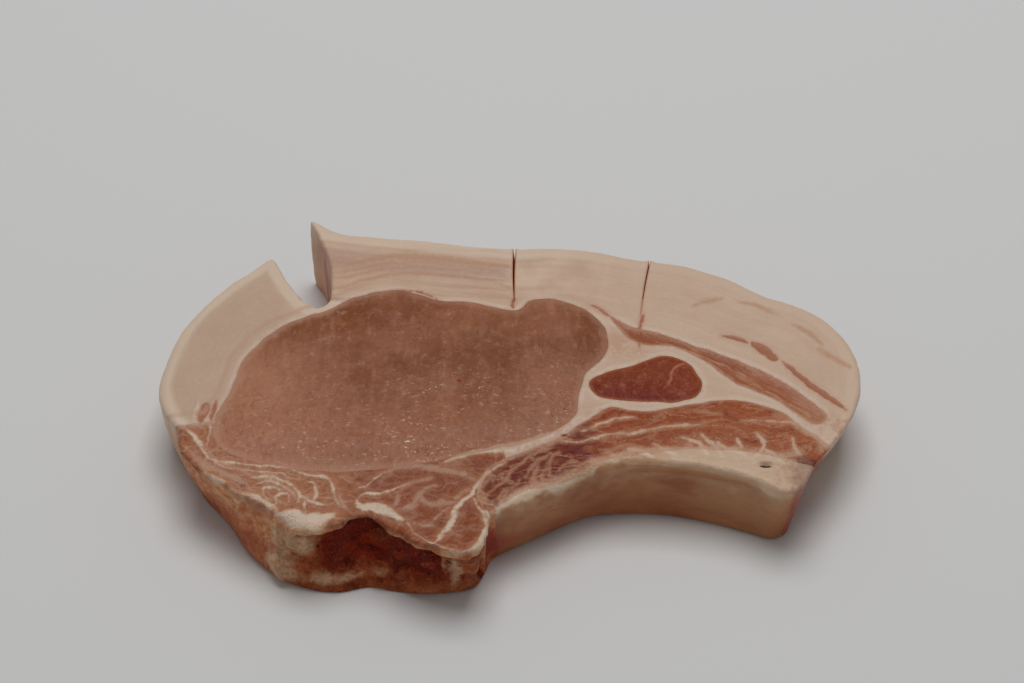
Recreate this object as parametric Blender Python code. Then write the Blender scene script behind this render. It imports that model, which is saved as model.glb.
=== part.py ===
"""A raw bone-in pork loin chop, lying flat on its lower cut face.

Every tissue that shows at the cut runs through the chop's thickness and is one
closed solid: the fat cap, the loin eye, the small cap muscle, the lean strip in
the belly fat, the meat along the rib, the meat over the chine, the rib and the
chine bone.  Neighbours keep a seam of SEAM between them.

Metres, +Z up, origin at the middle of the resting face.
+X runs along the chop to the belly end, +Y points to the fat cap.
"""
import bmesh
import bpy
import numpy as np

MM = 0.001

# Driving sizes, in metres.
THICKNESS = 22 * MM          # the slab of fat and lean between the two cuts
SEAM = 0.3 * MM              # slit left between two tissues
SOFT_EDGE = 0.6 * MM         # how far a tissue's edge is rounded at the seam
RIM_ROUND = 1.2 * MM         # how far the outer wall draws in at both cuts
WALL_SWELL = 0.5 * MM        # how far the outer wall swells at mid height
EYE_CROWN = 1.0 * MM         # the loin eye stands this proud in the middle
CAP_CROWN = 0.6 * MM
CROWN_STEPS = ((0.82, 0.6), (0.5, 1.0))    # share of the outline, share of the crown
STRIP_SINK = 0.5 * MM        # the lean strip and the rib lie a little lower
CHINE_HEIGHT = 18.5 * MM     # the sawn chine bone ends under a lip of meat
OVERSHOOT = 4 * MM           # how far a cutter passes the faces it cuts
SPAN_STEPS = 3               # straight steps between two points of an outline
REACH = 2                    # steps to each side that say how sharply a ring turns

# The outlines below are drawn from a mark on the loin eye.  This place on them,
# the middle of the whole chop's box, becomes the origin.
PLAN_CENTRE = np.array([-0.45, 12.18]) * MM

# The chop seen from above, in millimetres, anticlockwise from its lower left
# corner.  Each row is a point of the upper edge and how far the lower edge
# stands from it, because the walls are not upright.
CHOP = [
    (-88.0, -6.0, 3.5, 0.5), (-87.5, -12.0, 6.0, 0.5), (-83.0, -17.5, 5.0, 1.5),
    (-76.0, -22.5, 2.0, 1.0), (-70.0, -28.0, 1.0, -2.0), (-61.0, -33.0, 0.0, -5.0),
    (-53.0, -36.5, 0.0, -5.5), (-45.0, -37.0, 0.0, -6.0), (-37.0, -34.8, 0.0, -6.5),
    (-31.0, -38.5, 0.0, -4.0), (-25.0, -44.2, 0.0, 1.0), (-16.0, -46.0, 0.0, 3.0),
    (-9.5, -46.5, -0.5, 5.0), (-6.0, -40.0, -0.5, 4.0), (-6.0, -35.0, 1.0, 2.5),
    (2.0, -30.0, 1.0, 2.5), (11.0, -25.0, 1.0, 2.5), (20.0, -19.5, 0.5, 1.0),
    (28.0, -17.0, 0.0, 0.0), (40.0, -16.5, 0.0, -0.5), (52.0, -18.5, 0.0, -1.0),
    (62.0, -22.0, 0.0, -1.0), (70.0, -27.0, -1.0, 2.0), (74.5, -25.5, -2.0, 3.0),
    (78.5, -19.0, -5.0, 4.0), (83.0, -12.0, -7.0, 4.5), (88.0, -4.5, -7.0, 4.0),
    (92.0, 4.0, -6.0, 2.5), (93.5, 14.0, -4.5, 0.5), (91.5, 25.0, -3.0, -1.0),
    (86.0, 34.0, -2.0, -1.5), (79.0, 39.5, -1.5, -1.5), (70.0, 43.5, -1.0, -1.5),
    (60.0, 50.0, -0.5, -1.5), (48.0, 55.0, 0.0, -1.5), (36.0, 57.2, 0.0, -1.5),
    (24.0, 60.2, 0.0, -1.5), (12.0, 61.8, 0.0, -1.5), (0.0, 61.3, 0.0, -1.5),
    (-12.0, 62.8, 0.0, -1.5), (-26.0, 65.2, 0.0, -1.5), (-40.0, 66.5, 0.0, -1.5),
    (-49.0, 67.6, 0.0, -1.5), (-56.3, 70.8, 0.5, -1.5), (-54.0, 66.0, 0.5, -1.0),
    (-50.5, 56.0, 0.5, 0.0), (-49.6, 47.0, 0.5, 0.0), (-50.2, 41.0, 0.0, 0.5),
    (-53.0, 38.8, 0.0, 0.5), (-56.0, 40.5, 0.0, 0.5), (-60.0, 45.5, -0.5, 0.0),
    (-63.5, 52.0, -0.5, 0.0), (-66.5, 57.5, 0.0, -1.0), (-72.0, 53.0, 1.0, -1.0),
    (-80.0, 45.0, 1.5, -1.0), (-87.0, 36.0, 2.0, -1.0), (-92.0, 24.0, 2.5, -0.5),
    (-94.3, 9.0, 3.0, 0.0), (-91.5, 0.0, 3.0, 0.5),
]

# The tissues seen from above, in millimetres, anticlockwise.  Those that reach
# the outer wall run past it, and the chop's own outline trims them.
LOIN_EYE = [
    (-78.5, -4.0), (-76.5, -11.0), (-68.0, -15.5), (-55.0, -19.0), (-42.0, -19.8),
    (-28.0, -18.0), (-14.0, -14.5), (0.0, -10.8), (11.0, -6.2), (17.0, 0.0),
    (17.8, 8.0), (20.5, 15.5), (24.5, 20.0), (26.0, 28.0), (21.0, 37.0),
    (12.0, 41.6), (5.0, 41.2), (1.0, 37.5), (-5.0, 38.5), (-12.0, 41.0),
    (-20.0, 41.5), (-30.0, 45.0), (-40.0, 43.4), (-50.0, 38.0), (-60.0, 33.0),
    (-68.0, 26.0), (-72.5, 18.0), (-74.5, 9.0),
]
CAP_MUSCLE = [
    (20.3, 11.0), (23.0, 6.2), (29.0, 5.0), (36.0, 4.2), (43.0, 4.2), (49.0, 6.5),
    (50.8, 11.0), (48.5, 16.0), (45.0, 19.8), (40.0, 20.8), (33.0, 17.6),
    (26.0, 15.3),
]
LEAN_STRIP = [
    (27.5, 34.5), (31.0, 28.3), (36.0, 24.8), (44.0, 24.0), (52.0, 18.8),
    (60.0, 11.5), (68.0, 6.6), (76.0, -0.5), (80.5, -3.3), (83.0, -0.5),
    (79.0, 5.0), (70.0, 13.8), (60.0, 19.8), (50.0, 24.5), (41.0, 28.8),
    (33.0, 31.5),
]
RIB_MEAT = [
    (6.0, -11.2), (-1.0, -14.5), (-6.0, -18.5), (-8.5, -24.0), (-8.3, -30.0), (-5.0, -31.0),
    (2.0, -27.0), (10.0, -23.0), (18.0, -18.5), (26.0, -15.0), (32.0, -14.0), (40.0, -12.8),
    (48.0, -12.2), (58.0, -13.2), (68.0, -15.2), (76.0, -17.5), (84.0, -20.0),
    (92.0, -16.0), (84.0, -12.0), (78.0, -6.0), (72.0, 0.0), (65.0, 3.6), (58.0, 5.6),
    (50.0, 4.2), (42.0, 2.2), (36.0, 0.6), (31.0, 1.2), (26.0, 2.6), (21.5, -0.5),
    (17.5, -4.0), (13.0, -7.5),
]
CHINE_MEAT = [
    (-100.0, -32.0), (-60.0, -50.0), (-30.0, -56.0), (-3.5, -54.0), (-4.8, -37.5),
    (-5.2, -34.0), (-4.0, -29.0), (-2.0, -14.0), (-10.0, -8.0), (-60.0, -8.0),
    (-79.0, -3.0), (-86.0, -4.0), (-100.0, -6.0),
]
RIB = [
    (-2.0, -42.0), (10.0, -36.0), (30.0, -28.0), (60.0, -34.0), (84.0, -34.0),
    (96.0, -22.0), (80.0, -14.5), (68.0, -11.0), (48.0, -8.0), (26.0, -10.0), (10.0, -18.0),
    (-4.0, -28.0), (-12.0, -36.0),
]
CHINE_BONE = [
    (-60.0, -58.0), (-4.0, -58.0), (-3.0, -42.0), (-9.5, -41.0), (-21.0, -37.5),
    (-40.0, -31.0), (-59.0, -32.0),
]

# Knife cuts through the fat cap: the mouth's place and width, and the tip.
SCORES = [
    ((0.5, 66.0), 1.8, (0.6, 41.0)),
    ((38.6, 62.0), 0.9, (35.0, 36.0)),
]

# Colour (linear), roughness.
FINISHES = {
    "fat_cap": ((0.62, 0.45, 0.33), 0.45),
    "loin_eye": ((0.38, 0.15, 0.09), 0.38),
    "cap_muscle": ((0.24, 0.05, 0.03), 0.36),
    "lean_strip": ((0.38, 0.14, 0.08), 0.40),
    "rib_meat": ((0.34, 0.11, 0.06), 0.38),
    "chine_meat": ((0.38, 0.15, 0.09), 0.40),
    "rib": ((0.40, 0.22, 0.14), 0.35),
    "chine_bone": ((0.22, 0.07, 0.04), 0.55),
}


def clear_scene():
    for item in list(bpy.data.objects):
        bpy.data.objects.remove(item, do_unlink=True)


def collection(name):
    made = bpy.data.collections.new(name)
    bpy.context.scene.collection.children.link(made)
    return made


def smooth_ring(points, steps=SPAN_STEPS):
    """A closed curve through the points: centripetal Catmull-Rom, in metres."""
    p1 = np.array(points, dtype=float) * MM
    p1[:, :2] -= PLAN_CENTRE
    p0, p2, p3 = np.roll(p1, 1, axis=0), np.roll(p1, -1, axis=0), np.roll(p1, -2, axis=0)
    plan = slice(0, 2)
    gap = [np.sqrt(np.linalg.norm((b - a)[:, plan], axis=1))[:, None]
           for a, b in ((p0, p1), (p1, p2), (p2, p3))]
    t1 = gap[0]
    t2 = t1 + gap[1]
    t3 = t2 + gap[2]
    runs = []
    for step in range(steps):
        t = t1 + (t2 - t1) * step / steps
        a1 = (t1 - t) / t1 * p0 + t / t1 * p1
        a2 = (t2 - t) / (t2 - t1) * p1 + (t - t1) / (t2 - t1) * p2
        a3 = (t3 - t) / (t3 - t2) * p2 + (t - t2) / (t3 - t2) * p3
        b1 = (t2 - t) / t2 * a1 + t / t2 * a2
        b2 = (t3 - t) / (t3 - t1) * a2 + (t - t1) / (t3 - t1) * a3
        runs.append((t2 - t) / (t2 - t1) * b1 + (t - t1) / (t2 - t1) * b2)
    return np.stack(runs, axis=1).reshape(-1, p1.shape[1])


def outward(ring):
    """Normals of a ring, of length 1 on straight runs and near 0 at sharp tips."""
    plan = ring[:, :2]
    places = [np.roll(plan, shift, axis=0) for shift in range(-REACH, REACH + 1)]
    path = sum(np.linalg.norm(b - a, axis=1) for a, b in zip(places, places[1:]))
    chord = places[0] - places[-1]
    straight = np.linalg.norm(chord, axis=1) / path
    return np.column_stack([chord[:, 1], -chord[:, 0]]) * (straight**3 / path)[:, None]


def grown(ring, gap):
    """The ring moved outwards by the full gap everywhere, tips included."""
    chord = np.roll(ring, -1, axis=0) - np.roll(ring, 1, axis=0)
    normal = np.column_stack([chord[:, 1], -chord[:, 0]])
    return ring + normal / np.linalg.norm(normal, axis=1)[:, None] * gap


def loft(name, sections, group):
    """A closed solid through rings of equal length, lowest first."""
    made = bmesh.new()
    rows = [[made.verts.new(point) for point in section] for section in sections]
    count = len(rows[0])
    for low, high in zip(rows, rows[1:]):
        for i in range(count):
            j = (i + 1) % count
            made.faces.new((low[i], low[j], high[j], high[i]))
    made.faces.new(list(reversed(rows[0])))
    made.faces.new(rows[-1])
    bmesh.ops.triangulate(made, faces=made.faces)
    mesh = bpy.data.meshes.new(name)
    made.to_mesh(mesh)
    made.free()
    item = bpy.data.objects.new(name, mesh)
    group.objects.link(item)
    return item


def section(ring, height, spread=0.0):
    """The ring at a height, moved outwards by spread."""
    flat = ring[:, :2] + outward(ring) * spread
    return np.column_stack([flat, np.full(len(flat), height)])


def slab(name, thickness, group):
    """The whole chop between its two cuts, with leaning, swelling walls."""
    ring = smooth_ring(CHOP)
    levels = [
        (0.0, -RIM_ROUND), (0.06, -0.3 * RIM_ROUND), (0.25, 0.6 * WALL_SWELL),
        (0.5, WALL_SWELL), (0.75, 0.6 * WALL_SWELL), (0.94, -0.2 * RIM_ROUND),
        (1.0, -RIM_ROUND),
    ]
    sections = []
    for level, spread in levels:
        leaned = ring[:, :2] + ring[:, 2:] * (1 - level)
        sections.append(section(leaned, level * thickness, spread))
    return loft(name, sections, group)


def bar_sections(ring, thickness):
    """An outline carried up through the slab, with its two edges rounded."""
    return [
        section(ring, 0.0, -SOFT_EDGE),
        section(ring, SOFT_EDGE),
        section(ring, thickness - SOFT_EDGE),
        section(ring, thickness, -SOFT_EDGE),
    ]


def bar(name, outline, thickness, group):
    return loft(name, bar_sections(smooth_ring(outline), thickness), group)


def crowned_bar(name, outline, thickness, crown, group):
    """A muscle whose cut face rises towards its middle."""
    ring = smooth_ring(outline)
    middle = ring.mean(axis=0)
    sections = bar_sections(ring, thickness)
    for share, rise in CROWN_STEPS:
        sections.append(section(middle + (ring - middle) * share, thickness + crown * rise))
    return loft(name, sections, group)


def pocket(name, outline, cutters):
    """The room a tissue takes out of its neighbours, wider at both cuts."""
    ring = grown(smooth_ring(outline), SEAM)
    return as_cutter(loft(name, [
        section(ring, -OVERSHOOT, SOFT_EDGE),
        section(ring, 0.0, SOFT_EDGE),
        section(ring, SOFT_EDGE),
        section(ring, THICKNESS - SOFT_EDGE),
        section(ring, THICKNESS, SOFT_EDGE),
        section(ring, THICKNESS + OVERSHOOT, SOFT_EDGE),
    ], cutters))


def as_cutter(item):
    item.hide_render = True
    item.display_type = "WIRE"
    return item


def wedge(name, mouth, width, tip, cutters):
    """A knife cut: a thin wedge from its mouth to its tip, right through."""
    mouth, tip = np.array(mouth) * MM - PLAN_CENTRE, np.array(tip) * MM - PLAN_CENTRE
    along = (tip - mouth) / np.linalg.norm(tip - mouth)
    side = np.array([-along[1], along[0]]) * width * MM / 2
    ring = np.array([mouth - side, tip, mouth + side])
    return as_cutter(loft(name, [
        np.column_stack([ring, np.full(3, -OVERSHOOT)]),
        np.column_stack([ring, np.full(3, THICKNESS + OVERSHOOT)]),
    ], cutters))


def boolean(item, operation, cutter):
    step = item.modifiers.new(cutter.name, "BOOLEAN")
    step.operation = operation
    step.object = cutter
    step.solver = "EXACT"


def finish(item, name):
    colour, roughness = FINISHES[name]
    material = bpy.data.materials.new(name)
    material.use_nodes = True
    shader = material.node_tree.nodes["Principled BSDF"]
    shader.inputs["Base Color"].default_value = (*colour, 1.0)
    shader.inputs["Roughness"].default_value = roughness
    shader.inputs["Metallic"].default_value = 0.0
    item.data.materials.clear()
    item.data.materials.append(material)


def build():
    clear_scene()
    chop, cutters = collection("pork_chop"), collection("cutters")

    pockets = {
        name: pocket("pocket_" + name, outline, cutters)
        for name, outline in (
            ("loin_eye", LOIN_EYE), ("cap_muscle", CAP_MUSCLE), ("lean_strip", LEAN_STRIP),
            ("rib_meat", RIB_MEAT), ("chine_meat", CHINE_MEAT), ("rib", RIB),
        )
    }
    ring = smooth_ring(CHINE_BONE)
    pockets["chine_bone"] = as_cutter(loft("pocket_chine_bone", [
        section(grown(ring, SEAM), -OVERSHOOT),
        section(grown(ring, SEAM), CHINE_HEIGHT + SEAM),
    ], cutters))
    knives = [wedge(f"score_{number}", *cut, cutters) for number, cut in enumerate(SCORES)]

    parts = {
        "loin_eye": crowned_bar("loin_eye", LOIN_EYE, THICKNESS, EYE_CROWN, chop),
        "cap_muscle": crowned_bar("cap_muscle", CAP_MUSCLE, THICKNESS, CAP_CROWN, chop),
    }

    trimmed = (
        ("lean_strip", LEAN_STRIP, THICKNESS - STRIP_SINK, ()),
        ("rib_meat", RIB_MEAT, THICKNESS, ("loin_eye",)),
        ("chine_meat", CHINE_MEAT, THICKNESS, ("loin_eye", "rib_meat", "chine_bone")),
        ("rib", RIB, THICKNESS - STRIP_SINK, ("rib_meat", "chine_meat")),
    )
    for name, outline, thickness, neighbours in trimmed:
        parts[name] = slab(name, thickness, chop)
        keep = as_cutter(bar("keep_" + name, outline, thickness, cutters))
        boolean(parts[name], "INTERSECT", keep)
        for neighbour in neighbours:
            boolean(parts[name], "DIFFERENCE", pockets[neighbour])

    parts["chine_bone"] = slab("chine_bone", THICKNESS, chop)
    boolean(parts["chine_bone"], "INTERSECT", as_cutter(loft("keep_chine_bone", [
        section(ring, -OVERSHOOT),
        section(ring, CHINE_HEIGHT),
    ], cutters)))
    boolean(parts["chine_bone"], "DIFFERENCE", pockets["rib"])

    parts["fat_cap"] = slab("fat_cap", THICKNESS, chop)
    for neighbour in pockets:
        boolean(parts["fat_cap"], "DIFFERENCE", pockets[neighbour])
    for knife in knives:
        boolean(parts["fat_cap"], "DIFFERENCE", knife)

    for name, item in parts.items():
        finish(item, name)


build()
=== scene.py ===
# %% [markdown]
# # A raw pork chop, skinned over its frame
# A bone-in loin chop is one slab sawn across the back of a pig.  Its cut face is a
# map of tissues: white fat, a large pale muscle, a small dark one, and seams of
# fat between them.  The frame already holds each tissue as a plain closed solid.
# This lesson lays a fine skin over every solid, close enough to show grain and
# seams, and gives each tissue its own finish.

# %% Load the frame
import math

import bpy
import numpy as np
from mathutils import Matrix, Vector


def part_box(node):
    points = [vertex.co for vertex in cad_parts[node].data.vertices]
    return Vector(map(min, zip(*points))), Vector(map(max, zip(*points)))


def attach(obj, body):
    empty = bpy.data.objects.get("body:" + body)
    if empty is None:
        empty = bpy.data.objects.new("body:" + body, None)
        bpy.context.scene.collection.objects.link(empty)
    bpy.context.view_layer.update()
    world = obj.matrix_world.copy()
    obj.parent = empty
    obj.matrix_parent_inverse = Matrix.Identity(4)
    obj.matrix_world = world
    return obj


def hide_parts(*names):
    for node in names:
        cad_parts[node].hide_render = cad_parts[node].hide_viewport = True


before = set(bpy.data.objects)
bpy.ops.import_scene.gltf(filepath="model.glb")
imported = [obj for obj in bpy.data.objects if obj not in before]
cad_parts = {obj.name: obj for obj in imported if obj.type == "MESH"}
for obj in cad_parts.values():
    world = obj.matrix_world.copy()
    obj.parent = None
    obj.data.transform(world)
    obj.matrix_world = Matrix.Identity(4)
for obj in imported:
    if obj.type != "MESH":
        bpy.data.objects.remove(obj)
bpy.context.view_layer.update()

MM = 0.001
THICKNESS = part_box("fat_cap")[1][2] / MM
EYE_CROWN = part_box("loin_eye")[1][2] / MM - THICKNESS
CHINE_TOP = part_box("chine_bone")[1][2] / MM
print("slab", round(THICKNESS, 2), "mm, crown of the eye", round(EYE_CROWN, 2), "mm")

# %% [markdown]
# ## The outlines
# The tissues are drawn from above, in millimetres from a mark on the big muscle,
# just as the frame has them.  A row of the chop's own outline also says how far
# its lower edge stands from the upper one, because the walls lean, and the radius
# of its upper rim: soft where fat or membrane rolls over, sharp where a knife cut.

# %% The chop's outline and the tissues in it
PLAN_CENTRE = np.array([-0.45, 12.18])

CHOP = [
    (-88, -6, 3.5, 0.5, 1.2), (-87.5, -12, 6, 0.5, 1), (-83, -17.5, 5, 1.5, 0.9), (-76, -22.5, 2, 1, 0.8),
    (-70, -28, 1, -2, 0.8), (-61, -33, 0, -5, 1), (-53, -36.5, 0, -5.5, 1.2), (-45, -37, 0, -6, 1),
    (-37, -34.8, 0, -6.5, 0.7), (-31, -38.5, 0, -4, 0.7), (-25, -44.2, 0, 1, 0.8), (-16, -46, 0, 3, 0.9),
    (-9.5, -46.5, -0.5, 5, 1.6), (-6, -40, -0.5, 4, 2), (-6, -35, 1, 2.5, 2.2), (2, -30, 1, 2.5, 3.4),
    (11, -25, 1, 2.5, 4.2), (20, -19.5, 0.5, 1, 4.2), (28, -17, 0, 0, 2.6), (40, -16.5, 0, -0.5, 1.4),
    (52, -18.5, 0, -1, 1.2), (62, -22, 0, -1, 1.4), (70, -27, -1, 2, 1.4), (74.5, -25.5, -2, 3, 0.8),
    (78.5, -19, -5, 4, 0.8), (83, -12, -7, 4.5, 0.8), (88, -4.5, -7, 4, 1.2), (92, 4, -6, 2.5, 1.6),
    (93.5, 14, -4.5, 0.5, 1.8), (91.5, 25, -3, -1, 1.8), (86, 34, -2, -1.5, 1.8),
    (79, 39.5, -1.5, -1.5, 1.8), (70, 43.5, -1, -1.5, 1.6), (60, 50, -0.5, -1.5, 1.6),
    (48, 55, 0, -1.5, 1.6), (36, 57.2, 0, -1.5, 1.6), (24, 60.2, 0, -1.5, 1.6), (12, 61.8, 0, -1.5, 1.6),
    (0, 61.3, 0, -1.5, 1.4), (-12, 62.8, 0, -1.5, 1.6), (-26, 65.2, 0, -1.5, 1.6),
    (-40, 66.5, 0, -1.5, 1.4), (-49, 67.6, 0, -1.5, 1), (-56.3, 70.8, 0.5, -1.5, 0.4),
    (-54, 66, 0.5, -1, 0.5), (-50.5, 56, 0.5, 0, 0.6), (-49.6, 47, 0.5, 0, 0.6), (-50.2, 41, 0, 0.5, 0.6),
    (-53, 38.8, 0, 0.5, 0.6), (-56, 40.5, 0, 0.5, 0.6), (-60, 45.5, -0.5, 0, 0.6),
    (-63.5, 52, -0.5, 0, 0.6), (-66.5, 57.5, 0, -1, 0.8), (-72, 53, 1, -1, 1.6), (-80, 45, 1.5, -1, 2),
    (-87, 36, 2, -1, 2.2), (-92, 24, 2.5, -0.5, 2.4), (-94.3, 9, 3, 0, 2.2), (-91.5, 0, 3, 0.5, 1.8),
]
LOIN_EYE = [
    (-78.5, -4), (-76.5, -11), (-68, -15.5), (-55, -19), (-42, -19.8), (-28, -18), (-14, -14.5),
    (0, -10.8), (11, -6.2), (17, 0), (17.8, 8), (20.5, 15.5), (24.5, 20), (26, 28), (21, 37), (12, 41.6),
    (5, 41.2), (1, 37.5), (-5, 38.5), (-12, 41), (-20, 41.5), (-30, 45), (-40, 43.4), (-50, 38),
    (-60, 33), (-68, 26), (-72.5, 18), (-74.5, 9),
]
CAP_MUSCLE = [
    (20.3, 11), (23, 6.2), (29, 5), (36, 4.2), (43, 4.2), (49, 6.5), (50.8, 11), (48.5, 16), (45, 19.8),
    (40, 20.8), (33, 17.6), (26, 15.3),
]
LEAN_STRIP = [
    (27.5, 34.5), (31, 28.3), (36, 24.8), (44, 24), (52, 18.8), (60, 11.5), (68, 6.6), (76, -0.5),
    (80.5, -3.3), (83, -0.5), (79, 5), (70, 13.8), (60, 19.8), (50, 24.5), (41, 28.8), (33, 31.5),
]
RIB_MEAT = [
    (6, -11.2), (-1, -14.5), (-6, -18.5), (-8.5, -24), (-8.3, -30), (-5, -31), (2, -27), (10, -23),
    (18, -18.5), (26, -15), (32, -14), (40, -12.8), (48, -12.2), (58, -13.2), (68, -15.2), (76, -17.5),
    (84, -20), (92, -16), (84, -12), (78, -6), (72, 0), (65, 3.6), (58, 5.6), (50, 4.2), (42, 2.2),
    (36, 0.6), (31, 1.2), (26, 2.6), (21.5, -0.5), (17.5, -4), (13, -7.5),
]
CHINE_MEAT = [
    (-100, -32), (-60, -50), (-30, -56), (-3.5, -54), (-4.8, -37.5), (-5.2, -34), (-4, -29), (-2, -14),
    (-10, -8), (-60, -8), (-79, -3), (-86, -4), (-100, -6),
]
RIB = [
    (-2, -42), (10, -36), (30, -28), (60, -34), (84, -34), (96, -22), (80, -14.5), (68, -11), (48, -8),
    (26, -10), (10, -18), (-4, -28), (-12, -36),
]
CHINE_BONE = [
    (-60, -58), (-4, -58), (-3, -42), (-9.5, -41), (-21, -37.5), (-40, -31), (-59, -32),
]
# Knife cuts through the fat: the mouth's place and width, and the tip.
SCORES = [((0.5, 66.0), 0.85, (0.6, 41.0)), ((38.6, 62.0), 0.45, (35.0, 36.0))]


def curve_through(points, steps, closed=True):
    """A smooth curve through all points, open or closed.

    Centripetal Catmull-Rom: between two points the place is a blend of the
    straight lines through them and their neighbours, weighted by the square
    root of the distances.  An open curve gets a mirrored neighbour at each end.
    """
    p1 = np.array(points, dtype=float)
    if closed:
        p0, p2, p3 = (np.roll(p1, shift, axis=0) for shift in (1, -1, -2))
    else:
        ends = 2 * p1[[0, -1]] - p1[[1, -2]]
        padded = np.vstack([ends[:1], p1, ends[1:]])
        p0, p1, p2, p3 = padded[:-3], padded[1:-2], padded[2:-1], padded[3:]
    gaps = [np.linalg.norm((b - a)[:, :2], axis=1)[:, None]**0.5
            for a, b in ((p0, p1), (p1, p2), (p2, p3))]
    t1, t2, t3 = np.cumsum(gaps, axis=0)
    runs = []
    for step in range(steps):
        t = t1 + (t2 - t1) * step / steps
        a1 = (t1 - t) / t1 * p0 + t / t1 * p1
        a2 = (t2 - t) / (t2 - t1) * p1 + (t - t1) / (t2 - t1) * p2
        a3 = (t3 - t) / (t3 - t2) * p2 + (t - t2) / (t3 - t2) * p3
        b1 = (t2 - t) / t2 * a1 + t / t2 * a2
        b2 = (t3 - t) / (t3 - t1) * a2 + (t - t1) / (t3 - t1) * a3
        runs.append((t2 - t) / (t2 - t1) * b1 + (t - t1) / (t2 - t1) * b2)
    curve = np.stack(runs, axis=1).reshape(-1, p1.shape[1])
    return curve if closed else np.vstack([curve, p2[-1:]])


chop_ring = curve_through(CHOP, steps=10)
print("the outline is", round(np.linalg.norm(np.diff(chop_ring[:, :2], axis=0), axis=1).sum()),
      "mm round")

# %% [markdown]
# ## How far is it to the edge?
# Almost everything on meat depends on the distance to something: the rim rounds
# off near the edge, a seam of fat is white near its line.  So each outline becomes
# a distance field, a table of distances on a grid half a millimetre fine, negative
# inside.  Reading between the table's places is a weighted mean of four of them.

# %% Distance fields
GRID_STEP = 0.5
GRID_X = np.arange(-100.0, 100.0 + GRID_STEP, GRID_STEP)
GRID_Y = np.arange(-56.0, 78.0 + GRID_STEP, GRID_STEP)
FAR = 60.0
NEAR_BOX = 12.0


class Field:
    """Numbers on the plan's grid, read anywhere by bilinear interpolation."""

    def __init__(self, values):
        self.values = values

    def __call__(self, u, v):
        x = np.clip((u - GRID_X[0]) / GRID_STEP, 0, len(GRID_X) - 1.001)
        y = np.clip((v - GRID_Y[0]) / GRID_STEP, 0, len(GRID_Y) - 1.001)
        i, j = x.astype(int), y.astype(int)
        a, b = x - i, y - j
        z = self.values
        low = z[i, j] * (1 - a) + z[i + 1, j] * a
        high = z[i, j + 1] * (1 - a) + z[i + 1, j + 1] * a
        return low * (1 - b) + high * b


def segment_distance(x, y, start, end):
    """Distance to a straight piece, and how far along it the nearest place is."""
    along = end - start
    share = ((x - start[0]) * along[0] + (y - start[1]) * along[1]) / (along @ along + 1e-12)
    share = np.clip(share, 0, 1)
    return np.hypot(x - start[0] - share * along[0], y - start[1] - share * along[1]), share


def distance_field(ring):
    """Least distance to the ring's pieces, negative inside.

    A place is inside where a ray to its right crosses the ring an odd number
    of times.  Away from the ring's own box the value is just large.
    """
    ring = ring[:, :2]
    low, high = ring.min(axis=0) - NEAR_BOX, ring.max(axis=0) + NEAR_BOX
    columns = np.flatnonzero((GRID_X > low[0]) & (GRID_X < high[0]))
    rows = np.flatnonzero((GRID_Y > low[1]) & (GRID_Y < high[1]))
    x, y = np.meshgrid(GRID_X[columns], GRID_Y[rows], indexing="ij")
    least = np.full(x.shape, FAR)
    inside = np.zeros(x.shape, dtype=bool)
    for start, end in zip(ring, np.roll(ring, -1, axis=0)):
        least = np.minimum(least, segment_distance(x, y, start, end)[0])
        if start[1] != end[1]:
            crosses = (start[1] > y) != (end[1] > y)
            reach = start[0] + (y - start[1]) * (end[0] - start[0]) / (end[1] - start[1])
            inside ^= crosses & (x < reach)
    values = np.full((len(GRID_X), len(GRID_Y)), FAR)
    values[np.ix_(columns, rows)] = np.where(inside, -least, least)
    return Field(values)


def blurred(values, reach):
    """A box mean done three times each way, which is close to a bell curve."""
    size = 2 * round(reach / GRID_STEP) + 1
    kernel = np.ones(size) / size
    for _ in range(3):
        for axis in (0, 1):
            padded = np.pad(values, [(size // 2, size // 2) if a == axis else (0, 0)
                                     for a in (0, 1)], mode="edge")
            values = np.apply_along_axis(np.convolve, axis, padded, kernel, mode="valid")
    return values


chop_field = distance_field(chop_ring)
fields = {name: distance_field(curve_through(points, steps=10)) for name, points in (
    ("loin_eye", LOIN_EYE), ("cap_muscle", CAP_MUSCLE), ("lean_strip", LEAN_STRIP),
    ("rib_meat", RIB_MEAT), ("chine_meat", CHINE_MEAT), ("rib", RIB),
    ("chine_bone", CHINE_BONE),
)}
print("fields on", len(GRID_X), "by", len(GRID_Y), "places")

# %% [markdown]
# ## Uneven like meat
# No two places of a cut of meat are alike, so most sizes below are shaken a
# little.  Value noise does that: every whole cell gets a random number, and a
# place between cells takes a smooth mean of the corners round it.

# %% Noise
def hashed(cell, seed):
    """A number from 0 to 1 for each whole cell: its coordinates multiplied and mixed."""
    mixed = np.full(cell[0].shape, seed, dtype=np.uint32)
    for axis in cell:
        mixed = (mixed ^ axis.astype(np.int64).astype(np.uint32)) * np.uint32(2654435761)
        mixed ^= mixed >> np.uint32(15)
    return mixed / 2**32


def noise(size, seed, *axes, octaves=1):
    """Smooth noise from -1 to 1 with bumps about one size across.

    Each corner's number counts by the product of its nearness along every
    axis, eased so that slopes meet.  An octave adds bumps half as large and
    half as strong.
    """
    total, strength = 0.0, 0.0
    for octave in range(octaves):
        scaled = [axis / size * 2**octave + 31.7 * (seed + octave) for axis in axes]
        base = [np.floor(axis) for axis in scaled]
        ease = [(axis - low)**2 * (3 - 2 * (axis - low)) for axis, low in zip(scaled, base)]
        for corner in range(2**len(axes)):
            bits = [corner >> k & 1 for k in range(len(axes))]
            weight = 1.0
            for bit, share in zip(bits, ease):
                weight = weight * (share if bit else 1 - share)
            cell = [low + bit for low, bit in zip(base, bits)]
            total = total + weight * (2 * hashed(cell, seed + octave) - 1) / 2**octave
        strength += 1 / 2**octave
    return total / strength


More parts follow.
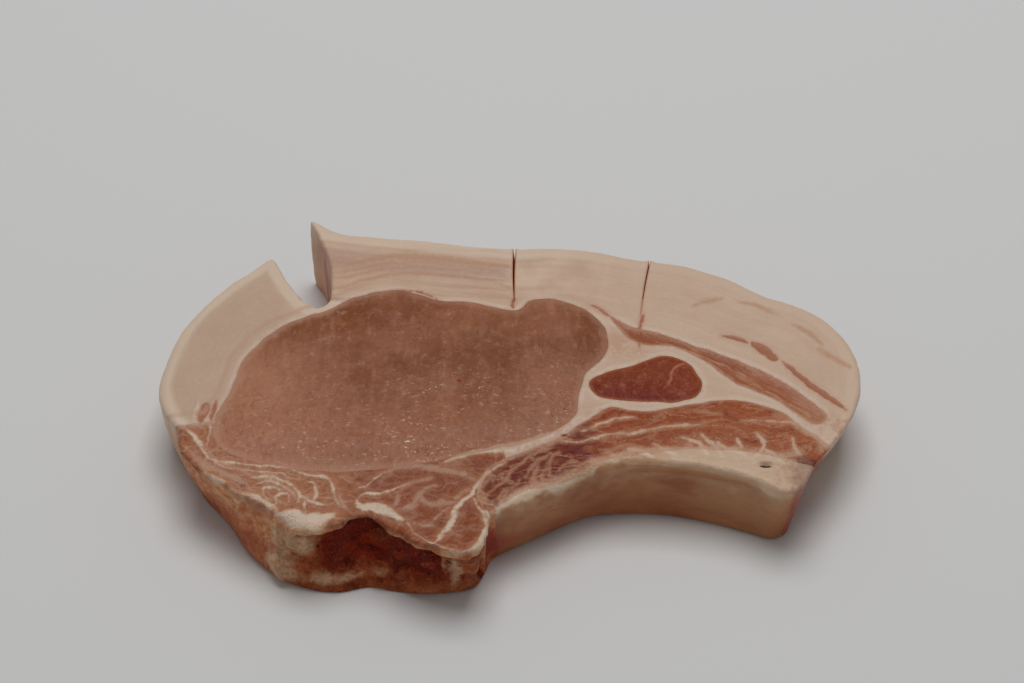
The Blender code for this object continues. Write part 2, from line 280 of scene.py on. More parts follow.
def ease(value, low, high):
    """0 below low, 1 above high, and an S-curve between."""
    share = np.clip((value - low) / (high - low), 0, 1)
    return share**2 * (3 - 2 * share)


sample = noise(3.0, 1, np.linspace(0, 200, 4001), np.zeros(4001))
print("noise runs from", round(sample.min(), 2), "to", round(sample.max(), 2))

# %% [markdown]
# ## Who owns which place
# A grid over the plan is cut up among the tissues.  Each cell asks the tissues in
# turn, the big muscle first, and what nobody claims is fat.  Seams in real meat
# wander, so the question is asked at a place shaken by up to two thirds of a mm.
# The knife cuts count as outside.  Near them the grid lines stand closer.

# %% The grid and its owners
STEP = 0.42
CUT_STEP = 0.15
CUT_STRIPS = [(0.55, 1.2), (37.0, 2.6)]    # middle and half width, where the cuts run
OUTSIDE, FAT = 0, 8
OWNERS = ["loin_eye", "cap_muscle", "lean_strip", "rib_meat", "chine_bone", "chine_meat",
          "rib"]


def cut_sides(u, v, mouth, width, tip):
    """Half width of a knife cut beside a place, and the distance to its side.

    The cut is widest between tip and mouth: its half width follows a parabola
    along the cut.  Its line wanders a little.  Behind the tip the distance is
    the plain one to the tip.
    """
    along = np.subtract(mouth, tip)
    length = np.hypot(*along)
    share = ((u - tip[0]) * along[0] + (v - tip[1]) * along[1]) / length**2
    across = ((u - tip[0]) * along[1] - (v - tip[1]) * along[0]) / length
    across = np.abs(across + 0.35 * np.sin(share * 4.4 + mouth[0]) * share)
    half = width / 2 * (1.6 * share - 0.9 * np.clip(share, 0, 0.9)**2).clip(0)
    return half, np.where(share > 0, across - half, np.hypot(u - tip[0], v - tip[1]))


def nearest_cut(u, v):
    """Distance to the side of the nearest cut, negative in a cut."""
    return np.minimum(*(cut_sides(u, v, *score)[1] for score in SCORES))


def cut_width(u, v):
    """Half the width of the cut nearest to each place."""
    (half, away), (other_half, other_away) = (cut_sides(u, v, *score) for score in SCORES)
    return np.where(away < other_away, half, other_half)


def outside_distance(u, v):
    """Positive outside the chop or in a cut, negative in the meat."""
    return np.maximum(chop_field(u, v), -nearest_cut(u, v))


def owner_distance(name, u, v):
    """Distance to a tissue's edge, negative inside, asked at a shaken place."""
    du = 0.30 * noise(3.5, 3, u, v) + 0.35 * noise(11.0, 5, u, v)
    dv = 0.30 * noise(3.5, 4, u, v) + 0.35 * noise(11.0, 6, u, v)
    return fields[name](u + du, v + dv)


def grid_lines(low, high, dense):
    """Lines about STEP apart, closer near each dense place (centre, half width)."""
    fine = np.arange(low, high, 0.01)
    gap = np.full(fine.shape, STEP)
    for centre, reach in dense:
        gap -= (STEP - CUT_STEP) * np.exp(-((fine - centre) / reach)**4)
    count = np.cumsum(0.01 / gap)
    return np.interp(np.arange(1, count[-1]), count, fine)


def shares_border(owner):
    """Which grid edges run between cells of different owners, along x and along y."""
    wide = np.pad(owner, 1)
    along_x = wide[1:-1, :-1] != wide[1:-1, 1:]
    along_y = wide[:-1, 1:-1] != wide[1:, 1:-1]
    return along_x, along_y


def settled(owner):
    """Small fixes to the map: lone cells join their neighbours, and where two
    cells of one owner meet only at a corner, a third cell joins them."""
    for _ in range(2):
        counts = np.zeros((FAT + 1,) + owner.shape)
        for k in range(FAT + 1):
            wide = np.pad(owner == k, 1, mode="edge").astype(float)
            counts[k] = sum(wide[i:i + owner.shape[0], j:j + owner.shape[1]]
                            for i in range(3) for j in range(3))
        own = np.take_along_axis(counts, owner[None], axis=0)[0]
        counts[OUTSIDE] = 0
        lonely = (own < 4) & (owner != OUTSIDE)
        owner = np.where(lonely, counts.argmax(axis=0), owner)
    for _ in range(6):
        a, b = owner[:-1, :-1], owner[1:, :-1]
        c, d = owner[:-1, 1:], owner[1:, 1:]
        b[(a == d) & (b != a) & (c != a)] = a[(a == d) & (b != a) & (c != a)]
        a[(b == c) & (a != b) & (d != b)] = b[(b == c) & (a != b) & (d != b)]
    return owner


lines_x = grid_lines(-97.0, 97.0, CUT_STRIPS)
lines_y = grid_lines(-50.0, 75.0, [])
centre_x, centre_y = np.meshgrid((lines_x[1:] + lines_x[:-1]) / 2,
                                 (lines_y[1:] + lines_y[:-1]) / 2, indexing="ij")
owner = np.full(centre_x.shape, FAT)
for k, name in reversed(list(enumerate(OWNERS, start=1))):
    owner[owner_distance(name, centre_x, centre_y) < 0] = k
owner[outside_distance(centre_x, centre_y) > 0] = OUTSIDE
owner = settled(owner)
for k, name in enumerate(OWNERS + ["fat_cap"], start=1):
    print(name, "owns", int((owner == k).sum()), "cells")

# %% [markdown]
# A border that follows grid cells is a staircase.  So every grid point on a border
# is pushed onto the true line: it steps against the slope of the distance until
# the distance is nought.  Points inside follow their neighbours a little, which
# keeps the cells near a border well shaped.

# %% Push the grid onto the borders
def slope(distance, u, v, reach=0.05):
    """Slope of a distance field, from its values a short way to each side."""
    du = distance(u + reach, v) - distance(u - reach, v)
    dv = distance(u, v + reach) - distance(u, v - reach)
    size = np.maximum(np.hypot(du, dv), 1e-9)
    return du / size, dv / size


def onto_border(place, asked):
    """Two Newton steps onto the line where each point's own distance is nought."""
    u, v = place
    for _ in range(2):
        for distance, points in asked:
            du, dv = slope(distance, u[points], v[points])
            step = np.clip(distance(u[points], v[points]), -STEP, STEP)
            u[points] -= step * du
            v[points] -= step * dv


def neighbour_mean(values, along_x, along_y):
    """Mean of the neighbours reached by the marked grid edges."""
    total, count = np.zeros(values.shape), np.zeros(values.shape)
    total[:-1] += values[1:] * along_x
    total[1:] += values[:-1] * along_x
    total[:, :-1] += values[:, 1:] * along_y
    total[:, 1:] += values[:, :-1] * along_y
    count[:-1] += along_x
    count[1:] += along_x
    count[:, :-1] += along_y
    count[:, 1:] += along_y
    return np.where(count > 0, total / np.maximum(count, 1), values)


edges_x, edges_y = shares_border(owner)
on_border = np.zeros((len(lines_x), len(lines_y)), dtype=bool)
on_border[:-1] |= edges_x
on_border[1:] |= edges_x
on_border[:, :-1] |= edges_y
on_border[:, 1:] |= edges_y

around = np.pad(owner, 1)
corners = np.stack([around[:-1, :-1], around[1:, :-1], around[:-1, 1:], around[1:, 1:]])
first = corners.min(axis=0)
asked = [(outside_distance, on_border & (first == OUTSIDE))]
asked += [(lambda u, v, name=name: owner_distance(name, u, v), on_border & (first == k))
          for k, name in enumerate(OWNERS, start=1)]

start_u, start_v = np.meshgrid(lines_x, lines_y, indexing="ij")
plan_u, plan_v = start_u.copy(), start_v.copy()
every_x = np.ones(edges_x.shape, dtype=bool)
every_y = np.ones(edges_y.shape, dtype=bool)
for _ in range(5):
    onto_border((plan_u, plan_v), asked)
    for place, start in ((plan_u, start_u), (plan_v, start_v)):
        slid = (place + neighbour_mean(place, edges_x, edges_y)) / 2
        moved = neighbour_mean(place - start, every_x, every_y) * 0.9
        place[:] = np.where(on_border, slid, start + moved)
onto_border((plan_u, plan_v), asked)
print("moved the grid points by up to",
      round(float(np.hypot(plan_u - start_u, plan_v - start_v).max()), 2), "mm")

# %% [markdown]
# ## One shape for all
# Every piece is bent by the same function, so neighbours still meet after it.  A
# place starts as plan position and height.  The walls lean towards the foot line,
# swell at mid height and carry lumps; the upper and lower rims are quarter rounds.
# The tops are not level: lean meat stands proud of its fat, seams are grooves, and
# the whole slab is a little wavy, as soft things are.

# %% Lean of the walls, radius of the rim
RING_COLUMNS = chop_ring[:, 2:]
coarse_x, coarse_y = GRID_X[::4], GRID_Y[::4]
near_x, near_y = np.meshgrid(coarse_x, coarse_y, indexing="ij")
apart = ((near_x[..., None] - chop_ring[:, 0])**2 + (near_y[..., None] - chop_ring[:, 1])**2)
weight = 1 / (apart + 2.0)**2.5
spread = weight @ RING_COLUMNS / weight.sum(axis=-1)[..., None]


def finer(values):
    """A table on every fourth grid place, read onto all of them."""
    full = np.array([np.interp(GRID_Y, coarse_y, row) for row in values])
    return np.array([np.interp(GRID_X, coarse_x, column) for column in full.T]).T


foot_u, foot_v, rim_radius = (Field(finer(spread[..., k])) for k in range(3))
soft_distance = blurred(chop_field.values, 2.0)
slope_u, slope_v = np.gradient(soft_distance, GRID_STEP)
slope_size = np.hypot(slope_u, slope_v) + 1e-6
out_u, out_v = Field(slope_u / slope_size), Field(slope_v / slope_size)
print("walls lean by up to", round(float(np.hypot(*chop_ring[:, 2:4].T).max()), 1), "mm")

# %% [markdown]
# ## Seams, streaks and spots
# White connective tissue runs through the lean like rivers on a map.  Each seam is
# a short row of places with a width in millimetres, and so is each pink streak in
# the fat.  Spots of another tone are soft balls: centre, half size along each way,
# strength.  They are read off at every point of the mesh and kept there as plain
# numbers, for the relief as well as for the colours.

# %% Tables of seams, streaks and spots
WHITE_SEAMS = [
    # along the lower edge of the big muscle, and round the left end
    (1.3, [(-18, -17.2), (-14.1, -15.5), (-9.9, -13.8), (-4.7, -12.4), (1.8, -10.4), (6.3, -8.9),
           (11.3, -6.6), (15.1, -4.5)]),
    (2.6, [(-5, -12.9), (0, -11.7), (5, -9.9)]),
    (1.3, [(-85.4, -5.6), (-83.4, -8.4), (-81.3, -11.9), (-79.3, -15.1)]),
    (0.5, [(-79.4, -2.1), (-79.5, -6), (-79.4, -9.5), (-79.5, -12.9)]),
    (0.6, [(-83.2, 4.2), (-83.8, 0.8), (-84.4, -3)]),
    (1.2, [(-81.8, -19.7), (-79.4, -20.8), (-76.7, -22.2), (-74.3, -23.3)]),
    (0.8, [(-80, -15.3), (-76, -16.2), (-71.8, -17.1), (-67.1, -17.6), (-61.9, -17.9), (-57.2, -19.1),
           (-52.9, -21.3), (-49.2, -21.8), (-47.1, -23.3), (-46, -26.6), (-44.5, -31)]),
    (0.5, [(-77.6, -16.5), (-72.2, -19.2), (-67.5, -19.9), (-62.3, -20.6), (-58.6, -21.3),
           (-55.4, -22.5)]),
    # the oval beside the chine, its inner ring and curls, and the white bar before it
    (1, [(-68.6, -23.3), (-66.3, -22.1), (-62.2, -22), (-58.5, -23.2), (-56.1, -25.4), (-54.7, -28.1),
         (-55, -30.6)]),
    (0.6, [(-66.7, -24.4), (-64.2, -23.3), (-60.5, -23.9), (-57.6, -25.9), (-56, -28.9)]),
    (0.9, [(-73.4, -24.6), (-70.9, -27), (-68.1, -28.1), (-65.4, -29.1), (-62.2, -31.4), (-60.1, -32.5)]),
    (0.5, [(-61, -30.6), (-60.9, -28.5), (-59.7, -27.1), (-58, -27.9), (-57.2, -30.6)]),
    (0.5, [(-62.8, -29.3), (-63.9, -27.9), (-64.6, -25.9), (-63.1, -25.2), (-59.9, -25.6)]),
    (0.9, [(-53.3, -23.1), (-51.5, -23.9), (-50.6, -26.6), (-50.7, -29.9)]),
    (0.8, [(-54.9, -27.9), (-52.5, -29.6), (-49.9, -30.8), (-47.3, -31.4)]),
    (0.6, [(-53.3, -29.9), (-53.4, -31.6), (-53.2, -33.3)]),
    (2.9, [(-62, -33), (-57.4, -34.6), (-52.3, -35.4), (-48.2, -35.4), (-45.2, -34.6)]),
    # from the whorl over the chine to its front edge, and the flap's thick edge
    (1.2, [(-1.8, -16.9), (-5.5, -19.7), (-8.2, -23.1), (-9.8, -26.4), (-11.8, -29.3), (-13.9, -32.1),
           (-15, -35.3), (-16.4, -38.7), (-18.3, -41.9), (-19.9, -44.6)]),
    (0.6, [(-9.6, -28.6), (-8.7, -32), (-7.6, -34.6), (-7.1, -36.6)]),
    (0.6, [(-40.5, -26), (-37.7, -24.6), (-35.5, -22.5), (-33, -20.3)]),
    (0.8, [(-39.9, -28.7), (-37.2, -26.8), (-34.8, -27.3), (-32, -26.7), (-28.9, -24.6), (-26.4, -23.7)]),
    (2.4, [(-40.3, -28.8), (-38.6, -31.6), (-36.4, -31.4), (-33.3, -32.8), (-30.1, -34.8),
           (-27.1, -36.7)]),
    (0.8, [(-27.1, -36.9), (-25, -40.1), (-22.4, -43.2), (-19.9, -44.9), (-15.7, -45.8), (-11.2, -46.6)]),
    (2.6, [(-6.9, -33), (-6.4, -35.6), (-6, -38.4), (-6.8, -41.4), (-8.4, -44.4), (-11.4, -46.7)]),
    # the edge of the membrane along the left half of the rib
    (1.7, [(-6, -33.6), (-3.6, -31.9), (1.8, -27.9), (7.3, -25.2), (12.7, -22.9), (18.2, -19.5),
           (22.1, -16.9), (28, -15.9)]),
    # in the small dark muscle and in the meat along the rib
    (0.5, [(46.2, 18.4), (43.2, 15.2), (42.2, 11.6), (40.3, 7.4)]),
    (0.7, [(12.9, -9.6), (17.3, -9.5), (21.7, -8.3), (27.3, -6.9), (31.7, -6.6), (37.3, -5.1),
           (43.4, -3.9), (51, -3.2)]),
    (0.5, [(18.4, -6), (22.4, -3.8), (26.6, -2.1), (32, -1.2)]),
    (0.5, [(59.9, -2.5), (65.7, -2.4), (71.5, -2.9), (77.6, -3.6)]),
    (1.3, [(44.6, -8), (47.4, -9.4), (49.4, -11.6), (51.8, -14.4)]),
    (1, [(49.2, -6.6), (51, -9.2), (53.8, -12), (55, -15)]),
    (1.6, [(53.7, -10), (55.4, -11.6), (58.2, -13.2), (62.2, -15.2)]),
    (1.1, [(64.3, -6.8), (65.7, -10.3), (64.8, -13.4), (62.4, -16)]),
    (1.8, [(65.7, -12.6), (67.6, -14.4), (71.7, -17)]),
    (1.1, [(37.2, -10.6), (39.8, -12.2), (43.4, -14.8)]),
    (1, [(73.4, -8.8), (74, -12), (75.6, -16.4)]),
    (1.1, [(30, -12.4), (33.4, -13.4), (37, -15)]),
    (0.8, [(59, -8.6), (59.6, -11.6), (58.4, -14.8)]),
    (0.35, [(39, 26.2), (48, 22.6), (56, 18.4), (64, 12.6)]),
    (0.35, [(58, 15.4), (66, 10), (74, 3.4), (79, -0.4)]),
]
HAZY_SEAMS = [
    (1.6, [(-33.2, -19.9), (-29.6, -18.4), (-25.5, -17.7), (-22.4, -18.3), (-18.7, -19.2), (-15.1, -19.8),
           (-11.9, -21.3), (-9.3, -23.3)]),
    (1.2, [(-26.4, -23.7), (-23.3, -22.7), (-20.4, -22.5)]),
    (1.1, [(-28.4, -24.9), (-29.1, -27.6), (-29.8, -30.6), (-30.4, -32.3)]),
    (1.3, [(-19.4, -24.9), (-22.7, -25.9), (-24.2, -27.9), (-25.1, -30.5), (-26.7, -32.1), (-30, -32.7)]),
    (1.4, [(-24, -28.6), (-22.1, -30.1), (-19.6, -30.3), (-16.7, -30.8), (-14.4, -29.8)]),
    (1, [(-10.8, -26), (-12.9, -26.7), (-14, -28.6), (-14.7, -30.1)]),
    (1, [(-25.5, -36.1), (-22.5, -37.4), (-19.9, -37.8)]),
    (1, [(-20.5, -36.7), (-18.9, -34.1), (-16.3, -32)]),
    (0.8, [(-8.8, -26), (-6.8, -28.6), (-7.6, -31.3), (-7.6, -34)]),
    (0.5, [(-6.7, -27.9), (-4.1, -25.2), (-1.6, -22.5), (0.5, -19.1)]),
    (0.5, [(-5.7, -30.6), (-2.6, -27.3), (0.5, -24.6), (2.3, -22.5)]),
    (0.6, [(-1.4, -21.8), (1.8, -17.5), (6.2, -13.1), (9.5, -12.3)]),
    (0.6, [(3.5, -21.8), (5.4, -18.2), (7.6, -15.7), (10.1, -13.7)]),
    (0.5, [(9.5, -21.8), (9.4, -18.2), (10.7, -14.6), (12.8, -13.1)]),
    (0.5, [(12.2, -19.7), (14, -16.9), (17.2, -16)]),
    (0.5, [(14.4, -20.5), (16.7, -18.2), (19.9, -16.6)]),
    (1.6, [(47.7, 1.4), (51.8, 0.6), (55.3, -0.2)]),
    (2.6, [(68.8, -0.2), (72.8, -1), (76.2, -2.7)]),
    (1.2, [(22.6, -12.6), (28, -11.6), (34, -12.2), (39.6, -13)]),
    (1, [(28, 1.4), (34, 2.6), (40, 2.2)]),
    (2, [(-58, -15.6), (-50, -17.4), (-42, -17.8), (-34, -17.4)]),
    (1.6, [(-86, -11), (-82, -15.6), (-76.6, -19.4), (-70.6, -23), (-66, -26.6)]),
    (1.2, [(-83.6, -8), (-79.2, -13.6), (-73, -17.8), (-66, -21.4)]),
    (1, [(-47, -26), (-44, -29), (-42.6, -32.4)]),
    (0.5, [(4.4, -24.8), (5.8, -21), (6.6, -18)]),
    (0.4, [(7.6, -23.4), (8.2, -19.6), (10.2, -16.4)]),
    (0.5, [(-3.2, -29.4), (-0.6, -26.6), (1.2, -23.6)]),
    (0.5, [(16, -19), (18.6, -17), (22.4, -15.4)]),
    (1.4, [(-76.4, 4), (-77.6, -3), (-77.2, -10)]),
]
PINK_STREAKS = [
    (1.1, [(56.6, 28.7), (61.1, 27.6), (64, 25.9)]),
    (2.5, [(64.8, 26.2), (68.3, 23), (71, 19.4)]),
    (1.5, [(72.4, 19.6), (77, 13.8), (81.4, 8.8), (85.2, 5.2), (88.6, 1.6)]),
    (1.9, [(-80.8, 3.8), (-81.4, 1.1), (-82.2, -3)]),
    (0.9, [(-78.4, 4.9), (-79, 1.1), (-79.6, -2.4)]),
    (0.6, [(74.5, 4.9), (77, 3.2), (79.6, 1.2)]),
    (0.7, [(21.2, 39.9), (25.5, 36.6), (28.8, 33.4)]),
    (0.5, [(34.9, 30.4), (34.2, 27.2), (34.6, 24.4)]),
    (0.5, [(-35.4, 43.9), (-29, 44.9), (-23.4, 43.9), (-19.8, 41.5)]),
    (0.6, [(35.9, 36.6), (35, 32.6), (34, 29)]),
    (0.5, [(0.6, 42), (0.2, 40.2), (0.3, 38.4)]),
]
FAINT_MARKS = [
    (0.8, [(49.6, 39.8), (54.3, 42), (58, 42.4)]),
    (1.1, [(61.4, 41.7), (67.2, 39.4), (72.4, 36)]),
    (1.1, [(76.2, 32.6), (80.2, 29.8), (83.9, 25.4)]),
    (1.3, [(82.4, 24.2), (86.3, 20.7), (90.6, 16.8)]),
    (1.2, [(-50.4, 56.4), (-45.4, 55.4), (-38.5, 57.2), (-31.6, 58.6), (-24.7, 58), (-17.7, 57),
           (-10.8, 56), (-3.9, 54.4), (-0.6, 53.8)]),
    (0.6, [(-49.4, 45.5), (-45.1, 46.9), (-38.3, 49.6), (-31.4, 51.4), (-24.5, 51.4), (-17.6, 50.9),
           (-10.7, 49.7), (-3.8, 47.8), (-0.8, 46.2)]),
    (0.5, [(-49.3, 49.4), (-43, 50.8), (-36, 53.2), (-28, 54.2), (-18, 53.4), (-8, 51.6)]),
    (0.4, [(-49.5, 51.6), (-43, 53), (-36, 55.2), (-27, 56.2), (-16, 55), (-4, 52.2)]),
]

# Each row: place along, across and up, half size along each of these, strength.
PALE_SPOTS = [
    (-59.5, -34, 6.5, 5.4, 8, 6, 0.9), (-59, -34, 16, 5, 6, 4, 0.8), (-53, -37.2, 21, 6.5, 1.3, 2.6, 0.8),
    (-53.5, -37, 15.5, 4, 6, 3.4, 0.8), (-49, -37, 4.5, 4.5, 8, 2.6, 0.7),
    (-42, -37, 4.4, 4.5, 8, 1.8, 0.6), (-34.5, -37, 6, 4, 8, 1.6, 0.6), (-14.5, -47, 12, 2, 8, 8, 1),
    (-21, -45, 3.6, 4, 8, 1.6, 0.5), (-17.8, -46, 14, 0.9, 8, 5, 0.5), (13, -25, 19.5, 7, 8, 2.6, 0.8),
    (37, -17, 21.4, 10, 3, 1.2, 0.9), (68, -24, 20.5, 5, 5, 2.4, 0.9), (57, -21, 15, 5, 8, 3, 0.6),
    (22, -19, 14, 5, 8, 4, 0.4), (73, -26, 10, 1, 5, 12, 0.4), (32.5, 2.4, 22, 4.6, 1.9, 30, 0.9),
    (-84, -13, 17, 3, 6, 3, 0.4), (73.5, -13.4, 22, 4, 2, 30, 0.6), (81, -12, 20, 2.5, 4, 5, 0.6),
    (61, -15.2, 22, 10, 1.9, 8, 0.9), (48, -14.2, 22, 10, 1.5, 8, 0.8), (-70, -27, 18, 4, 6, 2, 0.5),
    (-84, -14, 9, 3, 8, 2, 0.4), (41, 3, 22, 3, 0.8, 8, 0.3), (84, -7, 20, 2.4, 3, 9, 0.6),
]
# Two rows on the sawn bone, at (-47.6, -36) and (-36, -37), are sunk lines whose dark tone also stands
# for painted shade.
BLOOD_SPOTS = [
    (-41, -36, 15, 5, 8, 6, 1), (-36, -37, 10.5, 3.4, 8, 2, 1), (-28, -41, 16, 4.5, 8, 4.5, 1),
    (-24, -43, 9, 5, 8, 3.6, 0.6), (-6.5, -39.5, 11, 3, 7, 9, 1.4), (-47.6, -36, 12, 1.6, 8, 7, 0.6),
    (-19.6, -45, 16, 2.4, 8, 4, 0.8), (76, -22, 11, 3.7, 8, 18, 1.7), (50, -18, 5, 9, 8, 3.6, 0.4),
    (24, -18, 5, 10, 8, 3.6, 0.4), (64, -23, 3.6, 6, 8, 2.6, 0.4), (-1, -33, 7, 5, 8, 5, 0.5),
    (-54.5, 42, 20, 1.6, 1.6, 6, 0.8), (-51.4, 41.5, 20, 1.2, 1.4, 6, 0.8),
    (66, -18, 21, 1.7, 0.8, 8, 1.3), (-14, 11, 22, 0.9, 0.7, 5, 0.9), (35, -7.4, 22, 3.4, 1.2, 5, 0.5),
    (16.4, -13, 22, 4, 1.3, 5, 0.7), (13.6, -7.2, 22, 1.2, 0.6, 5, 1), (24, 1.5, 22, 3, 1, 9, 0.5),
    (36, 5.8, 22, 7, 0.9, 9, 0.7), (-62, -26, 22, 4, 1.2, 5, 0.5), (-69.6, -24.4, 22, 1.6, 1.2, 5, 0.7),
    (-32, -30, 22, 1.6, 2.2, 5, 0.5), (1.2, -21.4, 22, 2.4, 2.2, 5, 0.6), (-4, -30, 22, 1.6, 2.6, 5, 0.6),
    (-13, -37.5, 22, 1.8, 2.2, 5, 0.4), (79, -18, 21, 1.4, 2.4, 3, 0.5), (58.8, 13, 22, 1.2, 1.8, 5, 0.5),
    (72, -15.4, 22, 1.6, 0.5, 4, 0.4),
]
# Where juice stands: the big muscle gets a clear coat there, with a lighter tone and pale flecks painted
# as painted sheen and glints.
WET_SPOTS = [
    (-36, -11.4, 22, 13, 2.8, 9, 1.1), (-14, 9, 22, 13, 4.5, 9, 1), (-16, -13.6, 22, 11, 2.6, 9, 1.2),
    (14, 2, 22, 8, 9, 9, 0.4), (-30, 0, 22, 28, 10, 9, 0.35), (-31, 12, 22, 1.6, 2.4, 9, 0.8),
    (-60, -25, 22, 12, 4, 9, 0.6), (-30, -27, 22, 14, 8, 9, 0.5), (40, -3, 22, 16, 5, 9, 0.3),
    (-38, -37, 12, 20, 8, 10, 0.7), (67, -20, 22, 8, 4, 9, 0.5),
]


NO_STROKE = 9.0


def stroke_distance(u, v, strokes):
    """How far a place is from the nearest stroke's side, negative in a stroke.

    The distance to the stroke's line less 0.6 of its width, which tapers to
    both ends as the root of a sine.
    """
    least = np.full(u.shape, NO_STROKE)
    for width, points in strokes:
        line = curve_through(points, steps=4, closed=False)
        low, high = line.min(axis=0) - 6, line.max(axis=0) + 6
        near = np.flatnonzero((u > low[0]) & (u < high[0]) & (v > low[1]) & (v < high[1]))
        for k, (start, end) in enumerate(zip(line, line[1:])):
            away, share = segment_distance(u[near], v[near], start, end)
            taper = np.sqrt(np.sin(np.pi * (k + share) / (len(line) - 1)).clip(0, 1))
            least[near] = np.minimum(least[near], away - width * 0.6 * taper)
    return least


def spots(u, v, z, rows):
    """Sum of soft balls: each fades as a bell curve over its half sizes."""
    total = np.zeros(u.shape)
    for cu, cv, cz, ru, rv, rz, amount in rows:
        total += amount * np.exp(-((u - cu) / ru)**2 - ((v - cv) / rv)**2 - ((z - cz) / rz)**2)
    return total


for name, tables in (("white seams", (WHITE_SEAMS, HAZY_SEAMS)),
                     ("streaks", (PINK_STREAKS, FAINT_MARKS)),
                     ("spots", (PALE_SPOTS, BLOOD_SPOTS, WET_SPOTS))):
    print(sum(map(len, tables)), name)

# %% [markdown]
# ## Heights and bending
# The top's height is one function of the plan, and so is the height at which the
# sawn bone ends under a lip of meat.  The bending takes any place and height.

# %% Height of the top, and the bending
SWELL = 0.5
SEAM_GROOVE = 0.12
CUT_RADIUS = 0.45
NOTCH_PEAK = (-56.0, 70.0)
VESSEL = (66.2, -17.6)
LIP_PEAK = -37.5
FLAP = (-6.0, -39.0)
CREASE_HEIGHT = 17.6


def seam_distance(u, v):
    """Distance to the nearest border between two tissues."""
    return np.min([np.abs(owner_distance(name, u, v)) for name in
                   ("cap_muscle", "lean_strip", "rib_meat", "rib")], axis=0)


def top_height(u, v, white, streaks, border):
    """Height of the top: the slab, the crowns of the lean and fine relief."""
    height = THICKNESS + 0.45 * noise(48.0, 11, u, v) + 0.24 * noise(13.0, 12, u, v)
    height += 0.06 * noise(4.0, 18, u, v)
    height += EYE_CROWN * ease(-owner_distance("loin_eye", u, v), 0, 11) - 0.15
    height += 0.5 * ease(-owner_distance("cap_muscle", u, v), 0, 4)
    height -= 0.45 * ease(-owner_distance("lean_strip", u, v), 0, 2)
    lean = ease(-np.min([owner_distance(name, u, v) for name in
                         ("loin_eye", "cap_muscle", "rib_meat", "chine_meat")], axis=0), 0, 1.2)
    height += lean * (0.08 * noise(2.1, 13, u, v, octaves=2) + 0.10 * noise(5.5, 14, u, v))
    chine = ease(-owner_distance("chine_meat", u, v), 0, 3) * ease(
        owner_distance("loin_eye", u, v), -1, 2)
    height += chine * (0.40 * noise(5.0, 16, u, v) + 0.16 * noise(2.0, 17, u, v))
    height -= SEAM_GROOVE * np.exp(-(border / 0.5)**2)
    height += (0.10 + 0.28 * chine) * ease(-white, -0.7, 0.3)
    height -= 0.22 * ease(-streaks, -0.4, 0.3)
    height += 1.3 * np.exp(-((u - NOTCH_PEAK[0])**2 + (v - NOTCH_PEAK[1])**2) / 40)
    height -= 1.6 * np.exp(-((u - VESSEL[0]) / 1.5)**2 - ((v - VESSEL[1]) / 0.7)**2)
    return height


def lip_height(u, v):
    """Height of the sawn bone's top edge, under a lip of meat that thins at its peak."""
    low = CHINE_TOP + 0.6 + 0.5 * noise(7.0, 15, u, v)
    return low + (THICKNESS - 0.8 - low) * np.exp(-((u - LIP_PEAK) / 5.5)**2)


def lumps(u, v, z):
    """Lumps of the outer wall: noise, raised pale tissue and sunk red bone."""
    rough = ease(-np.minimum(owner_distance("chine_meat", u, v),
                             owner_distance("rib_meat", u, v)), -1, 1)
    bone = ease(-owner_distance("chine_bone", u, v), -7.0, 1.0)
    size = 0.22 + 0.35 * rough + 0.35 * bone
    rise = size * (noise(9.0, 21, u, v, z) + 0.5 * noise(3.4, 22, u, v, z))
    rise += (0.10 + 0.14 * rough + 0.22 * bone) * noise(1.9, 23, u, v, z)
    rise += bone * (1.6 * spots(u, v, z, PALE_SPOTS) - 1.5 * spots(u, v, z, BLOOD_SPOTS))
    rise += 0.6 * bone * noise(3.0, 27, u, v, z, octaves=2)
    below_lip = ease(lip_height(u, v) - z, -0.1, 1.3)
    set_back = below_lip * ease(u, -55, -46) * (1 - ease(u, -16, -9)) * ease(z, 2, 9)
    rise -= bone * set_back * (1.7 + 1.2 * noise(5.0, 25, u, v, z))
    flap = np.exp(-((u - FLAP[0]) / 3)**2 - ((v - FLAP[1]) / 6)**2)
    rise -= 1.2 * flap * ease(20 - z, 0, 2)
    crease = CREASE_HEIGHT + 1.6 * np.sin((u - 20) / 16) + 0.5 * noise(6.0, 24, u, v)
    along = ease(u, 22, 34) * (1 - ease(u, 62, 70)) * (v < 0)
    rise -= 0.30 * along * np.exp(-((z - crease) / 1.2)**2)
    rise += 0.30 * along * np.exp(-((z - crease - 2) / 1.5)**2)
    return rise


def bent(u, v, z, height):
    """Where a place of the slab ends up, in metres round the resting face's middle.

    Lean, swell and lumps push it outwards and fade away from the outer wall.
    """
    inside = -chop_field(u, v)
    share = np.clip(z / height, 0, 1)
    fade = np.exp(-(np.maximum(inside, 0) / 14)**2) * (1 - share)
    cut = nearest_cut(u, v)
    shut_u, shut_v = slope(nearest_cut, u, v)
    shut = ease(1 - share, 0.0, 0.22) * np.exp(-(np.maximum(cut, 0) / 3)**2)
    gap = cut_width(u, v) * 0.97 * shut
    push = SWELL * 4 * share * (1 - share) * np.exp(-(inside / 4)**2)
    push += lumps(u, v, z) * np.exp(-(np.maximum(inside, 0) / 1.6)**2) * ease(z, 0, 3)
    x = u + foot_u(u, v) * fade + out_u(u, v) * push - shut_u * gap - PLAN_CENTRE[0]
    y = v + foot_v(u, v) * fade + out_v(u, v) * push - shut_v * gap - PLAN_CENTRE[1]
    return np.column_stack([x, y, z]) * MM


